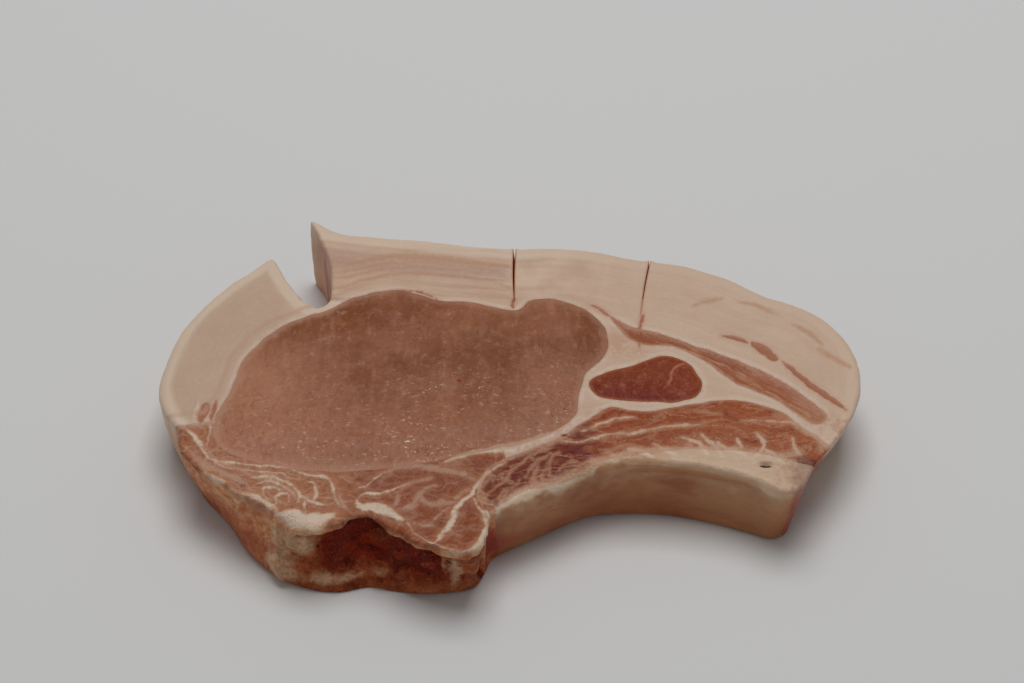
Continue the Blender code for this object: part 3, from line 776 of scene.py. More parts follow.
def rim(u, v):
    """Moves places near the outer wall onto a quarter round.

    A place one share of the radius inside is put at the same share of a
    quarter turn.  Returns the new place and how far it lies below the top.
    """
    inside = np.maximum(-outside_distance(u, v), 0)
    radius = np.minimum(rim_radius(u, v), CUT_RADIUS + 0.8 * np.maximum(nearest_cut(u, v), 0))
    turn = np.clip(inside / radius, 0, 1) * np.pi / 2
    du, dv = slope(outside_distance, u, v)
    outwards = np.where(turn < np.pi / 2, inside - radius * (1 - np.cos(turn)), 0)
    return u + du * outwards, v + dv * outwards, radius * (1 - np.sin(turn))


lip_edge = lip_height(np.array([-50.0, LIP_PEAK]), np.array([-34.0, -35.0]))
print("the sawn bone ends at", np.round(lip_edge, 1).tolist(), "mm, beside its peak and at it")

# %% [markdown]
# ## Skins from columns
# A tissue's skin is a top sheet, a bottom sheet and walls between them.  Where a
# wall shows it is cut into many levels, for the lumps; where two tissues touch it
# is one tall face, with sharp edges so that the cut face is not shaded round.
# Every point of the mesh keeps what the finishes need to know.

# %% Build one closed skin
GRID_SHAPE = plan_u.shape
VERTEX = np.arange(plan_u.size).reshape(GRID_SHAPE)
moved_u, moved_v, below_top = (values.reshape(GRID_SHAPE) for values in
                               rim(plan_u.ravel(), plan_v.ravel()))
touches = np.zeros(GRID_SHAPE, dtype=bool)
for near in ((slice(None, -1), slice(None, -1)), (slice(1, None), slice(None, -1)),
             (slice(None, -1), slice(1, None)), (slice(1, None), slice(1, None))):
    touches[near] |= owner != OUTSIDE
on_meat = np.flatnonzero(touches.ravel())
mu, mv = moved_u.ravel()[on_meat], moved_v.ravel()[on_meat]


def shaken(strokes, amount, size, seed, octaves):
    """Distance to the strokes, asked at places shaken both ways by noise."""
    du, dv = (amount * noise(size, seed + k, mu, mv, octaves=octaves) for k in (0, 1))
    return stroke_distance(mu + du, mv + dv, strokes)


known = {
    "white": shaken(WHITE_SEAMS, 0.7, 3.2, 31, 2) + 0.34 * noise(2.2, 36, mu, mv, octaves=2)
             + 0.26 * noise(7.0, 40, mu, mv),
    "haze": shaken(HAZY_SEAMS, 0.8, 2.8, 38, 2) + 0.4 * noise(2.0, 37, mu, mv, octaves=2),
    "streak": shaken(PINK_STREAKS, 0.2, 1.8, 33, 1),
    "faint": stroke_distance(mu, mv + 0.4 * noise(4.0, 35, mu, mv), FAINT_MARKS),
    "border": seam_distance(mu, mv),
    "rim": -chop_field(mu, mv),
    "cut": nearest_cut(mu, mv),
}
for name, values in known.items():
    full = np.full(plan_u.size, NO_STROKE)
    full[on_meat] = values
    known[name] = full
whole_height = np.full(plan_u.size, THICKNESS)
whole_height[on_meat] = top_height(mu, mv, *(known[name][on_meat] for name in
                                             ("white", "streak", "border")))
full_top = whole_height - below_top.ravel()
full_low = 0.6 * below_top.ravel()
lip_low = np.minimum(lip_height(moved_u.ravel(), moved_v.ravel()), full_top - 0.3)


def sides_of(cells):
    """The directed border edges of a patch of cells, with the patch on their left.

    Each side of a cell counts where the next cell over it is not in the patch.
    Also says whether that next cell lies outside the chop.
    """
    wide, around = np.pad(cells, 1), np.pad(owner, 1)
    sides = []
    for (di, dj), start, end in (((0, -1), (0, 0), (1, 0)), ((1, 0), (1, 0), (1, 1)),
                                 ((0, 1), (1, 1), (0, 1)), ((-1, 0), (0, 1), (0, 0))):
        i, j = np.nonzero(cells & ~wide[1 + di:wide.shape[0] - 1 + di,
                                        1 + dj:wide.shape[1] - 1 + dj])
        sides.append(np.column_stack([
            VERTEX[i + start[0], j + start[1]], VERTEX[i + end[0], j + end[1]],
            around[i + 1 + di, j + 1 + dj] == OUTSIDE]))
    return np.concatenate(sides)


def skin(cells, low, top, levels):
    """A closed skin over a patch of cells, from one height field to another.

    Vertices: the top sheet, the bottom sheet, then a column of inner levels
    under each point of the outer wall, evenly spaced from bottom to top.
    """
    i, j = np.nonzero(cells)
    ring = np.column_stack([VERTEX[i, j], VERTEX[i + 1, j], VERTEX[i + 1, j + 1],
                            VERTEX[i, j + 1]])
    used = np.unique(ring)
    place = np.full(VERTEX.size, -1)
    place[used] = np.arange(len(used))
    count = len(used)
    sides = sides_of(cells)
    outer, inner = sides[sides[:, 2] == 1, :2], sides[sides[:, 2] == 0, :2]
    walls = np.unique(outer)
    column = np.full(VERTEX.size, -1)
    column[walls] = 2 * count + np.arange(len(walls)) * (levels - 1)

    share = np.arange(1, levels) / levels
    wall_z = low[walls][:, None] * (1 - share) + top[walls][:, None] * share
    source = np.concatenate([used, used, np.repeat(walls, levels - 1)])
    z = np.concatenate([top[used], low[used], wall_z.ravel()])

    def level(points, step):
        if step == 0:
            return place[points] + count
        return place[points] if step == levels else column[points] + step - 1

    quads = [place[ring], place[ring][:, ::-1] + count]
    for step in range(levels):
        quads.append(np.column_stack([
            level(outer[:, 0], step), level(outer[:, 1], step),
            level(outer[:, 1], step + 1), level(outer[:, 0], step + 1)]))
    plain = inner[(column[inner] < 0).all(axis=1)]
    tall = np.column_stack([level(plain[:, 0], 0), level(plain[:, 1], 0),
                            level(plain[:, 1], levels), level(plain[:, 0], levels)])
    joined = []
    for a, b in inner[(column[inner] >= 0).any(axis=1)]:
        rising = [column[b] + k for k in range(levels - 1)] if column[b] >= 0 else []
        sinking = [column[a] + k for k in range(levels - 2, -1, -1)] if column[a] >= 0 else []
        joined.append([place[a] + count, place[b] + count, *rising, place[b], place[a],
                       *sinking])
    return {"source": source, "z": z, "quads": np.concatenate(quads), "tall": tall,
            "joined": joined}


def merged(skins):
    """Several closed skins as one: the later ones' numbers are moved up."""
    whole = {"source": [], "z": [], "quads": [], "tall": [], "joined": []}
    offset = 0
    for part in skins:
        whole["source"].append(part["source"])
        whole["z"].append(part["z"])
        whole["quads"].append(part["quads"] + offset)
        whole["tall"].append(part["tall"] + offset)
        whole["joined"] += [[v + offset for v in face] for face in part["joined"]]
        offset += len(part["source"])
    joined = whole.pop("joined")
    return {"joined": joined, **{key: np.concatenate(values) for key, values in whole.items()}}


def into_mesh(name, made, seam_names):
    """A mesh object from a skin, bent into shape, with its numbers on every point."""
    source, z = made["source"], made["z"]
    u, v = moved_u.ravel()[source], moved_v.ravel()[source]
    height = whole_height[source]
    faces = made["quads"].tolist() + made["tall"].tolist() + made["joined"]
    mesh = bpy.data.meshes.new(name)
    mesh.from_pydata(bent(u, v, z, height), [], faces, shade_flat=False)
    sizes = np.array([len(face) for face in faces])
    loop_edges = np.empty(len(mesh.loops), dtype=np.int32)
    mesh.loops.foreach_get("edge_index", loop_edges)
    hidden = np.repeat(np.arange(len(faces)) >= len(made["quads"]), sizes)
    sharp = np.zeros(len(mesh.edges), dtype=bool)
    sharp[loop_edges[hidden]] = True
    mesh.attributes.new("sharp_edge", "BOOLEAN", "EDGE").data.foreach_set("value", sharp)
    numbers = {key: values[source] for key, values in known.items()}
    numbers["seam"] = np.min([owner_distance(key, u, v) if name == "fat" else
                              -owner_distance(key, u, v) for key in seam_names], axis=0)
    numbers["deep"] = height - z
    # relief of the walls, which the sawn bone's finish also uses for painted light and shade
    numbers["rise"] = lumps(u, v, z)
    numbers["under"] = lip_height(u, v) - z
    for key, rows in (("pale", PALE_SPOTS), ("blood", BLOOD_SPOTS), ("wet", WET_SPOTS)):
        numbers[key] = spots(u, v, z, rows)
    for key, values in numbers.items():
        layer = mesh.attributes.new(key, "FLOAT", "POINT")
        layer.data.foreach_set("value", np.ascontiguousarray(values, dtype=np.float32))
    thing = bpy.data.objects.new(name, mesh)
    bpy.context.scene.collection.objects.link(thing)
    print(name, len(mesh.polygons), "faces", int((sizes - 2).sum()), "triangles")
    return thing


# %% [markdown]
# Every tissue that reaches the outer wall gets many levels there.  The lip of meat
# over the sawn bone is a second, thin skin, which is added to the chine's meat.

# %% Skin every tissue
WALL_LEVELS = 32
BONE = OWNERS.index("chine_bone") + 1
bone_cells = owner == BONE
pieces = {}
for number, (name, levels) in enumerate((
        ("eye", 1), ("cap", 1), ("strip", WALL_LEVELS), ("rib_lean", WALL_LEVELS),
        ("chine_bone", WALL_LEVELS - 4), ("chine_lean", WALL_LEVELS), ("rib_bone", WALL_LEVELS),
        ("fat", WALL_LEVELS - 8)), start=1):
    if name == "chine_bone":
        made = skin(bone_cells, full_low, lip_low, levels)
    else:
        made = skin(owner == number, full_low, full_top, levels)
    if name == "chine_lean":
        made = merged([made, skin(bone_cells, lip_low, full_top, 6)])
    borders = OWNERS if name == "fat" else [OWNERS[number - 1]]
    pieces[name] = into_mesh(name, made, borders)

# %% [markdown]
# ## Shader sums in plain Python
# A finish is a sum of masks and tones.  The small class below wraps one socket of
# a material, so that `1 - mask * 0.5` adds the Math nodes by itself, and turns a
# number into a mask with `above` or `below` a limit.  The other class is the
# material: it adds any other node, and has a few short words for noise, for
# numbers of the mesh and for laying one colour over another.

# %% A socket that does sums
def maths(operation, swapped=False):
    """A method of Socket that adds one Math node, its two values swapped or not."""
    return lambda self, other: self.sum(operation, *((other, self) if swapped else (self, other)))


class Socket:
    """A number on its way through a material."""

    __add__, __radd__ = maths("ADD"), maths("ADD", swapped=True)
    __sub__, __rsub__ = maths("SUBTRACT"), maths("SUBTRACT", swapped=True)
    __mul__, __rmul__ = maths("MULTIPLY"), maths("MULTIPLY", swapped=True)
    least = maths("MINIMUM")

    def __init__(self, paint, link):
        self.paint, self.link = paint, link

    def sum(self, operation, *values):
        return self.paint.add("Math", {"operation": operation}, dict(enumerate(values)))

    def __neg__(self):
        return self * -1.0

    def __abs__(self):
        return self.sum("ABSOLUTE", self)

    def above(self, low, high):
        """0 below low, 1 above high, and an S-curve between."""
        return self.paint.add("MapRange", {"interpolation_type": "SMOOTHSTEP"},
                              {"Value": self, "From Min": low, "From Max": high})

    def below(self, low, high):
        """1 below low, 0 above high, and an S-curve between."""
        return 1 - self.above(low, high)


class Paint:
    """One material: adds nodes and ends in a Principled shader."""

    def __init__(self, name):
        self.material = bpy.data.materials.new(name)
        self.material.use_nodes = True
        self.tree = self.material.node_tree
        self.tree.nodes.clear()
        self.place = self.add("TexCoord", output="Object")
        self.mm = self.add("VectorMath", {"operation": "SCALE"}, {0: self.place, "Scale": 1000.0})
        parts = self.add("SeparateXYZ", {}, {0: self.mm}, output=None).outputs
        self.x, self.y, self.z = (Socket(self, parts[axis]) for axis in "XYZ")

    def add(self, kind, settings=None, values=None, output=0):
        """Any node: its settings first, then the values or links of its sockets."""
        node = self.tree.nodes.new("ShaderNode" + kind)
        for key, value in (settings or {}).items():
            setattr(node, key, value)
        for key, value in (values or {}).items():
            if isinstance(value, Socket):
                self.tree.links.new(value.link, node.inputs[key])
            else:
                node.inputs[key].default_value = value
        return node if output is None else Socket(self, node.outputs[output])

    def known(self, *names):
        """Numbers kept on the mesh's points."""
        return [self.add("Attribute", {"attribute_name": name}, output="Fac") for name in names]

    def noise(self, size, detail=2, rough=0.5, stretch=(1, 1, 1), shift=0, at=None):
        """Smooth noise from about -1 to 1, with bumps about one size (mm) across."""
        where = self.add("VectorMath", {"operation": "MULTIPLY_ADD"},
                         {0: at or self.mm, 1: stretch, 2: (shift, shift * 0.7, -shift)})
        fac = self.add("TexNoise", {"noise_dimensions": "3D"},
                       {"Vector": where, "Scale": 1 / size, "Detail": detail, "Roughness": rough})
        return (fac - 0.5) * NOISE_SPREAD

    def ridge(self, size, width, **places):
        """Thin wandering lines: 1 where smooth noise is nought, 0 a little off it."""
        return abs(self.noise(size, detail=1, **places)).below(width * 0.3, width * 2.2)

    def over(self, mask, below, above, mode="MIX"):
        """Lays one colour over another where the mask is 1.  Three numbers are a tone."""
        below, above = (tone(*colour) if isinstance(colour, tuple) and len(colour) == 3 else colour
                        for colour in (below, above))
        return self.add("Mix", {"data_type": "RGBA", "blend_type": mode},
                        {0: mask, 6: below, 7: above}, output=2)

    def stack(self, colour, *layers):
        """Lays colours over each other in turn, each where its mask is 1."""
        for mask, above in layers:
            colour = self.over(mask, colour, above)
        return colour

    def shaded(self, mask, colour, tint):
        """Multiplies a colour by a tint where the mask is 1."""
        return self.over(mask, colour, (*tint, 1.0), "MULTIPLY")

    def finish(self, colour, roughness, bump, bump_size, weight, radius, coat=0.0,
               coat_roughness=0.16, sheen=0.5):
        """The shader: moist, slightly see-through flesh with fine relief."""
        normal = self.add("Bump", {}, {"Height": bump, "Distance": bump_size * MM,
                                       "Strength": 1.0})
        shader = self.add("BsdfPrincipled", {"subsurface_method": "RANDOM_WALK"}, {
            "Base Color": colour, "Roughness": roughness, "Normal": normal, "IOR": FLESH_IOR,
            "Specular IOR Level": sheen, "Subsurface Weight": weight,
            "Subsurface Radius": radius, "Subsurface Scale": SCATTER * MM,
            "Coat Weight": coat, "Coat Roughness": coat_roughness, "Coat IOR": JUICE_IOR})
        self.add("OutputMaterial", {}, {"Surface": shader}, output=None)
        return self.material


NOISE_SPREAD = 3.2
FLESH_IOR, JUICE_IOR = 1.4, 1.35
SCATTER = 1.6
LIGHT_LEVEL = 0.60
VEIL = np.array([0.016, 0.018, 0.022])
# Painted shade: the outer walls are multiplied darker and warmer than the tops.
WALL_SHADE = (0.90, 0.66, 0.46)


def tone(red, green, blue):
    """The pigment that shows as this colour (0 to 255) under the scene's light.

    Undo the display curve, take off the sheen that lies over all moist things,
    then divide by the share of light that comes back.
    """
    shown = np.array([red, green, blue]) / 255
    linear = np.where(shown > 0.04045, ((shown + 0.055) / 1.055)**2.4, shown / 12.92)
    return (*np.clip((linear - VEIL) / LIGHT_LEVEL, 0.004, 0.95).tolist(), 1.0)


def cartilage(paint, mask, colour, fleck):
    """Lays cream gristle over a colour: pinkish where the noise is low, pale where high."""
    return paint.over(mask, colour,
                      paint.stack((162, 122, 94), (fleck.above(-0.8, 0.9) * 0.9, (196, 167, 139)),
                                  ((-fleck).above(0.4, 1.2) * 0.4, (140, 86, 62))))


print("white fat is", np.round(tone(172, 152, 138)[:3], 2))

# %% [markdown]
# ## Fat
# Back fat is laid down in layers that run along the back: a firm cream one at the
# outside, a thin tan line, a faintly pink layer and a white one next to the lean.
# The layers are noise stretched along the rim, read from the distance to it.  Behind
# the big muscle the distance is the one to the line of the back, so that the layers
# run straight past the open notch.

# %% Fat
BACK_EDGE, BACK_SLOPE = 49.3, 0.125    # the line of the back: y = edge - slope * x


def fat_finish():
    paint = Paint("fat")
    rim_depth, seam, deep, blood = paint.known("rim", "seam", "deep", "blood")
    streak, faint, cut, white = paint.known("streak", "faint", "cut", "white")
    middle = paint.x.above(-58, -52) * paint.x.below(-3, 2)
    right = paint.x.above(5, 40)
    left = paint.x.below(-66, -52)

    from_back = BACK_EDGE - paint.x * BACK_SLOPE - paint.y
    behind_eye = paint.x.above(-59, -56) * paint.x.below(-4, 2) * paint.y.above(28, 32)
    rim_depth = rim_depth + behind_eye * (from_back - rim_depth)
    layers = paint.add("CombineXYZ", {},
                       {"X": paint.x * 0.045, "Y": rim_depth * 0.9, "Z": paint.z * 0.05})
    lines = paint.noise(1.5, at=layers)
    broad = paint.noise(3, detail=1, at=layers, shift=9)
    cloud = paint.noise(9, detail=3, shift=3)
    fine = paint.noise(1.3, shift=5)
    speck = paint.noise(0.7, detail=1, shift=1)
    outer = (rim_depth + broad * 0.8).below(3, 5)
    pink_layer = (rim_depth + broad).above(6, 7.6) * (rim_depth + broad).below(13, 15)
    near_lean = (seam + fine * 0.3 + cloud * 0.4).below(0.4, 1.9) * (cloud + broad * 0.4).above(-1, 0.3)
    marks = (faint + fine * 0.4 + broad * 0.3).below(-0.6, 1)
    blush = (streak + fine * 0.5).below(0, 1.5)
    pink = (streak + fine * 0.25).below(-0.3, 0.35)
    ragged = ((seam + fine * 0.4 + speck * 0.2).below(-0.2, 0.9)
              * (cloud * 0.6 - fine * 0.5).above(-0.8, 0.5))
    rosy = abs(paint.x - 31).below(3, 10) * abs(paint.y - 13).below(2, 8)
    tail = paint.x.above(74, 82) * paint.y.below(-16, -8)
    strait = paint.x.above(-10, -4) * paint.x.below(20, 24) * paint.y.below(-14, -7)
    beside = paint.x.below(-44, -30) * abs(seam + cloud * 0.5 + broad * 0.4 - 3.4).below(0.2, 1.4)

    colour = paint.stack(
        paint.over((cloud + broad * 0.6).above(-0.8, 0.9), (166, 140, 122), (181, 158, 141)),
        (left * 0.6, (163, 140, 122)),
        (outer * 0.8, (184, 166, 150)),
        (left * rim_depth.above(2, 6) * 0.5, (163, 140, 123)),
        (middle * (1 - outer) * 0.5, (172, 146, 128)),
        (pink_layer * middle * 0.9, (160, 133, 120)),
        (right * 0.7, (174, 151, 133)),
        (near_lean * 0.75, (182, 164, 151)),
        (lines.above(0, 1) * (0.12 + middle * 0.33) * (1 - outer * 0.5), (152, 121, 104)),
        ((-lines).above(0.2, 1) * middle * 0.4, (184, 166, 152)),
        (fine.above(0.1, 1.2) * 0.22, (190, 172, 157)),
        (speck.above(0.5, 1.2) * 0.18, (156, 123, 106)),
        ((cloud - fine * 0.4).above(0.5, 1.3) * 0.3, (164, 128, 110)),
        (marks * 0.8, (160, 125, 102)),
        (rosy * (fine + cloud).above(-0.9, 0.5) * 0.7, (162, 126, 104)),
        (blush * 0.4, (166, 122, 101)),
        (pink * 0.9, (140, 88, 68)),
        ((white + speck * 0.1).below(-0.2, 0.4) * 0.7, (184, 166, 151)),
        (tail * (fine + cloud).above(-0.3, 0.8) * 0.6, (152, 112, 92)),
        (beside * 0.5, (162, 130, 111)),
        (ragged * 0.6, (156, 114, 93)),
        (strait * (fine * 0.7 + cloud * 0.5).above(-0.4, 0.6) * 0.7, (158, 124, 105)),
        # the walls: a warmer tan, then painted shade that makes them darker and warmer than the top
        (deep.above(1.5, 10) * 0.5, (176, 142, 118)))
    colour = paint.shaded(deep.above(1.5, 10), colour, (0.9, 0.77, 0.64))
    in_cut = cut.below(0.02, 0.35) * (deep + fine * 0.3).above(0.1, 0.8)
    notch = ((deep + fine * 0.4).above(0.4, 2) * paint.x.above(-66, -63) * paint.x.below(-51, -48)
             * paint.y.below(50, 57))
    first = paint.x.below(15, 25)
    colour = paint.stack(
        colour,
        (in_cut, paint.over(first, (160, 104, 82), (138, 58, 34))),
        ((cut + fine * 0.12).below(0.05, 0.5) * (0.4 + first * 0.25), (162, 108, 84)),
        (notch * 0.85,
         paint.over((lines + cloud * 0.6).above(-0.5, 0.7), (146, 92, 72), (182, 138, 112))),
        ((blood + fine * 0.15).above(0.3, 0.75) * 0.85, (98, 48, 44)))
    bump = cloud * 0.8 + fine * 0.25 + lines * 0.5 + speck * 0.06 - pink * 0.6 - marks * 0.3
    rough = 0.46 + fine * 0.04 + cloud * 0.03
    return paint.finish(colour, rough, bump, 0.12, 0.25, (1, 0.75, 0.55))


# %% [markdown]
# ## Lean
# The big muscle is cut across its fibres.  The ends of the fibre bundles show as
# grains about a millimetre wide, some paler.  Where juice stands, a clear coat gives
# wet glints and the tone there is painted lighter as painted sheen; small pale flecks
# painted all over, most of them there, are painted glints.
# It is browner towards the back and pinker towards the chine.

# %% The big muscle
def eye_finish():
    paint = Paint("loin_lean")
    seam, wet, blood, white, haze = paint.known("seam", "wet", "blood", "white", "haze")
    cloud = paint.noise(17, shift=2)
    drift = paint.noise(7, detail=3, rough=0.6, stretch=(1, 0.7, 1), shift=12)
    patch = paint.noise(2.8, detail=3, rough=0.6, shift=7)
    grain = paint.noise(1.15, rough=0.55, stretch=(1, 0.75, 1), shift=1)
    comb = paint.noise(2.4, detail=3, rough=0.55, stretch=(1, 0.32, 1), shift=4)
    fleck = paint.noise(0.95, detail=1, stretch=(0.7, 1.2, 1), shift=8)
    thread = paint.ridge(5, 0.05, stretch=(1, 0.6, 1), shift=6)

    low = (paint.y + cloud * 6).below(-24, 4)
    left = (paint.x + cloud * 6).below(-68, -40) * (paint.y + cloud * 5).below(0, 22)
    band = paint.noise(6, stretch=(1, 0.15, 1), shift=15)
    right = (paint.x + cloud * 3).above(-4, 8) * (paint.y + patch * 2).below(2, 14)
    # where juice stands: a real clear coat, plus painted sheen and painted glints in the colour
    wet_and_painted_sheen = wet.least(1) * (drift + patch * 0.5).above(-0.4, 0.6)
    busy = (0.22 + low * 0.5 + wet_and_painted_sheen * 0.5 + right * 0.25 + patch * 0.15).least(1)
    colour = paint.stack(
        paint.over((cloud + drift * 0.3).above(-0.7, 0.7), (108, 66, 48), (127, 84, 66)),
        (left * 0.85, (151, 108, 87)),
        ((paint.y + drift * 4).above(10, 22) * (paint.x + drift * 4).below(-48, -30) * 0.8,
         (106, 63, 45)),
        (low * 0.65, (143, 97, 77)),
        (right * 0.6, (138, 95, 77)),
        # painted sheen: a lighter tone where juice stands
        (wet_and_painted_sheen * 0.25, (144, 105, 82)),
        (band.above(0, 0.9) * 0.3, (142, 99, 78)),
        (drift.above(0.1, 1) * 0.42, (147, 103, 81)),
        ((-drift).above(0.1, 1) * 0.5, (99, 57, 41)),
        (comb.above(0, 0.9) * 0.42, (153, 112, 90)),
        ((-comb).above(0.2, 1) * 0.35, (101, 58, 43)),
        (patch.above(0.1, 1) * 0.45, (156, 112, 90)),
        ((-patch).above(0.2, 1) * 0.4, (104, 57, 42)),
        ((-grain).above(0, 0.9) * busy * 0.5, (98, 50, 36)),
        (grain.above(0.1, 1) * busy * 0.5, (168, 126, 103)),
        # painted glints: small pale flecks, most where juice stands
        (fleck.above(0.45, 0.75) * (busy * 0.3 + wet_and_painted_sheen * 0.7).least(1), (206, 180, 164)),
        (thread * patch.above(0, 0.8) * 0.25, (168, 132, 113)),
        ((haze + patch * 0.5).below(-0.4, 1.2) * 0.2, (154, 120, 104)),
        ((white + grain * 0.25).below(-0.2, 0.6) * 0.7, (166, 140, 126)),
        ((seam + patch * 0.9 + grain * 0.2).below(0.2, 2.6) * (0.65 - paint.x.above(-50, -20) * 0.3),
         (156, 118, 100)),
        (blood.above(0.3, 0.7) * 0.9, (118, 36, 28)))

    bump = grain * (0.3 + wet_and_painted_sheen * 1.5) + fleck * wet_and_painted_sheen * 0.8 + patch * 0.6 + comb * 0.25
    film = (grain * 0.7 + fleck * 0.5 + patch * 0.3).above(0.1, 0.5)
    rough = 0.5 + grain * 0.05 - wet_and_painted_sheen * 0.06
    return paint.finish(colour, rough, bump, 0.19, 0.2, (1, 0.45, 0.3), 0.02 + wet_and_painted_sheen * film * 0.95, 0.06,
                        sheen=0.42)


# %% [markdown]
# The small dark muscle works harder in the living animal, so it is redder and finer
# in grain.  Its edge pales into the fat, and one white thread runs across it.

# %% The small dark muscle
def cap_finish():
    paint = Paint("dark_lean")
    seam, white, blood = paint.known("seam", "white", "blood")
    grain = paint.noise(0.85, rough=0.6, shift=3)
    patch = paint.noise(3.2, detail=3, rough=0.6, shift=6)
    thread = paint.ridge(4, 0.06, stretch=(1, 0.6, 1), shift=2)
    low = (paint.y + patch * 1.5).below(-7, 2)
    right = (paint.x + patch * 2).above(38, 46)
    colour = paint.stack(
        paint.over(low * 0.8, (114, 62, 50), (103, 45, 36)),
        (right * 0.35, (120, 62, 50)),
        (patch.above(0, 1) * 0.6, (156, 100, 84)),
        ((-patch).above(0.1, 1) * 0.5, (84, 30, 23)),
        (grain.above(0.1, 0.9) * 0.4, (156, 98, 80)),
        ((-grain).above(0.1, 0.9) * 0.4, (80, 28, 22)),
        (thread * 0.12, (154, 102, 82)),
        ((white + grain * 0.2).below(-0.2, 0.35) * 0.75, (156, 104, 82)),
        ((blood + grain * 0.1).above(0.3, 0.9) * 0.5, (84, 30, 20)),
        ((seam + grain * 0.4 + patch * 0.5).below(-0.1, 1) * 0.65, (148, 94, 70)))
    bump = grain * 0.6 + patch * 0.9
    return paint.finish(colour, 0.44 + grain * 0.05, bump, 0.14, 0.2, (1, 0.4, 0.25), 0, sheen=0.2)


# %% [markdown]
# The strip in the belly and the meat along the rib are cut along their fibres,
# so their grain is drawn out.  White strands of fat run between the bundles.

# %% The strip and the meat along the rib
def strip_finish():
    paint = Paint("strip_lean")
    seam, white, deep, blood = paint.known("seam", "white", "deep", "blood")
    along = paint.add("VectorRotate", {"rotation_type": "Z_AXIS"}, {"Vector": paint.mm, "Angle": 0.66})
    fibre = paint.noise(1.1, detail=3, rough=0.6, stretch=(0.14, 1.3, 0.5), at=along)
    patch = paint.noise(5, detail=3, rough=0.6, shift=4)
    grain = paint.noise(0.9, rough=0.6, shift=2)
    end = (paint.x + patch * 2).above(72, 82)
    colour = paint.stack(
        paint.over((paint.x + patch * 4).above(50, 80), (129, 75, 53), (137, 84, 62)),
        ((-patch).above(0.1, 1) * 0.45, (120, 62, 42)),
        (patch.above(0.1, 1) * 0.4, (160, 116, 94)),
        (fibre.above(0, 0.9) * 0.6, (168, 126, 103)),
        ((-fibre).above(0.1, 1.1) * 0.45, (124, 68, 48)),
        (grain.above(0.2, 1) * 0.3, (162, 116, 92)),
        (end * 0.5, (156, 116, 95)),
        ((white + grain * 0.2).below(-0.2, 0.35) * 0.5, (168, 130, 108)),
        ((blood + grain * 0.1).above(0.3, 0.9) * 0.6, (112, 58, 42)),
        ((seam + grain * 0.5 + patch * 0.7).below(-0.3, 1.5) * 0.7, (166, 126, 104)))
    # painted shade on the walls
    colour = paint.shaded(deep.above(1, 8), colour, WALL_SHADE)
    bump = fibre * 0.7 + grain * 0.4
    return paint.finish(colour, 0.45 + grain * 0.05, bump, 0.13, 0.22, (1, 0.5, 0.35), 0.08)


def rib_lean_finish():
    paint = Paint("rib_lean")
    seam, white, haze, pale, blood, deep = paint.known(
        "seam", "white", "haze", "pale", "blood", "deep")
    bend = paint.noise(8, detail=1, shift=3)
    flow = paint.add("CombineXYZ", {},
                     {"X": paint.x, "Y": paint.y + bend * 1.5 - paint.x * 0.1, "Z": paint.z * 0.6})
    fibre = paint.noise(1.3, detail=3, rough=0.6, stretch=(0.25, 1.2, 0.5), at=flow)
    patch = paint.noise(5, detail=3, rough=0.65, stretch=(0.6, 1.1, 1), shift=1)
    blot = paint.noise(2.4, rough=0.6, shift=9)
    grain = paint.noise(0.9, rough=0.6, shift=2)
    thread = paint.ridge(4.5, 0.07, stretch=(0.35, 1, 0.7), at=flow)
    left = (paint.x + patch * 3).below(16, 26)
    low = (paint.y + patch * 2 - paint.x * 0.06).below(-21, -16)
    colour = paint.stack(
        paint.over(paint.x.above(25, 70), (126, 63, 43), (137, 77, 54)),
        (low * (1 - left) * 0.5, (140, 84, 60)),
        (left * 0.85, (96, 46, 28)),
        ((-patch).above(0, 0.9) * 0.75, (92, 30, 15)),
        (patch.above(0.2, 1.1) * 0.5, (162, 108, 80)),
        (blot.above(0.1, 0.9) * 0.35, (166, 114, 86)),
        ((-blot).above(0.1, 0.9) * 0.5, (100, 40, 24)),
        (fibre.above(0.1, 1) * 0.45, (166, 118, 91)),
        ((-grain).above(0.1, 0.9) * 0.45, (86, 33, 20)),
        (grain.above(0.3, 1) * 0.35, (174, 128, 102)),
        (thread * (0.4 + left * 0.2) * grain.above(-0.8, 0.5), (168, 130, 106)),
        ((haze + grain * 0.3 + blot * 0.2).below(-0.4, 0.7) * (0.45 + left * 0.2), (160, 122, 98)),
        ((white + grain * 0.3 + blot * 0.3).below(0, 1.5) * 0.35, (164, 120, 95)),
        ((white + grain * 0.3 + blot * 0.3).below(-0.5, 0.4) * 0.85, (180, 156, 138)),
        ((seam + grain * 0.4 + blot * 0.3).below(-0.2, 1.3) * 0.6, (162, 123, 101)),
        ((seam + grain * 0.4 + blot * 1.1 + patch * 0.9).below(0, 2.6) * low * (0.85 - left * 0.4),
         (172, 138, 117)),
        ((pale + blot * 0.3).above(0.3, 0.9) * 0.8, (168, 138, 117)),
        ((blood + grain * 0.1).above(0.3, 0.8) * 0.8, (88, 32, 24)))
    # painted shade on the walls
    colour = paint.shaded(deep.above(1, 8), colour, WALL_SHADE)
    bump = fibre * 0.5 + grain * 0.7 + patch * 0.7 + blot * 0.5 + thread * 0.3
    return paint.finish(colour, 0.46 + grain * 0.05, bump, 0.19, 0.2, (1, 0.45, 0.3), 0.05, sheen=0.4)


# %% [markdown]
# ## Round the chine
# Short muscles and sheets of tendon meet over the backbone.  White seams fold
# round them; on the sawn side the meat is wet, and the bone below shows dark
# marrow between lumps of cream cartilage.

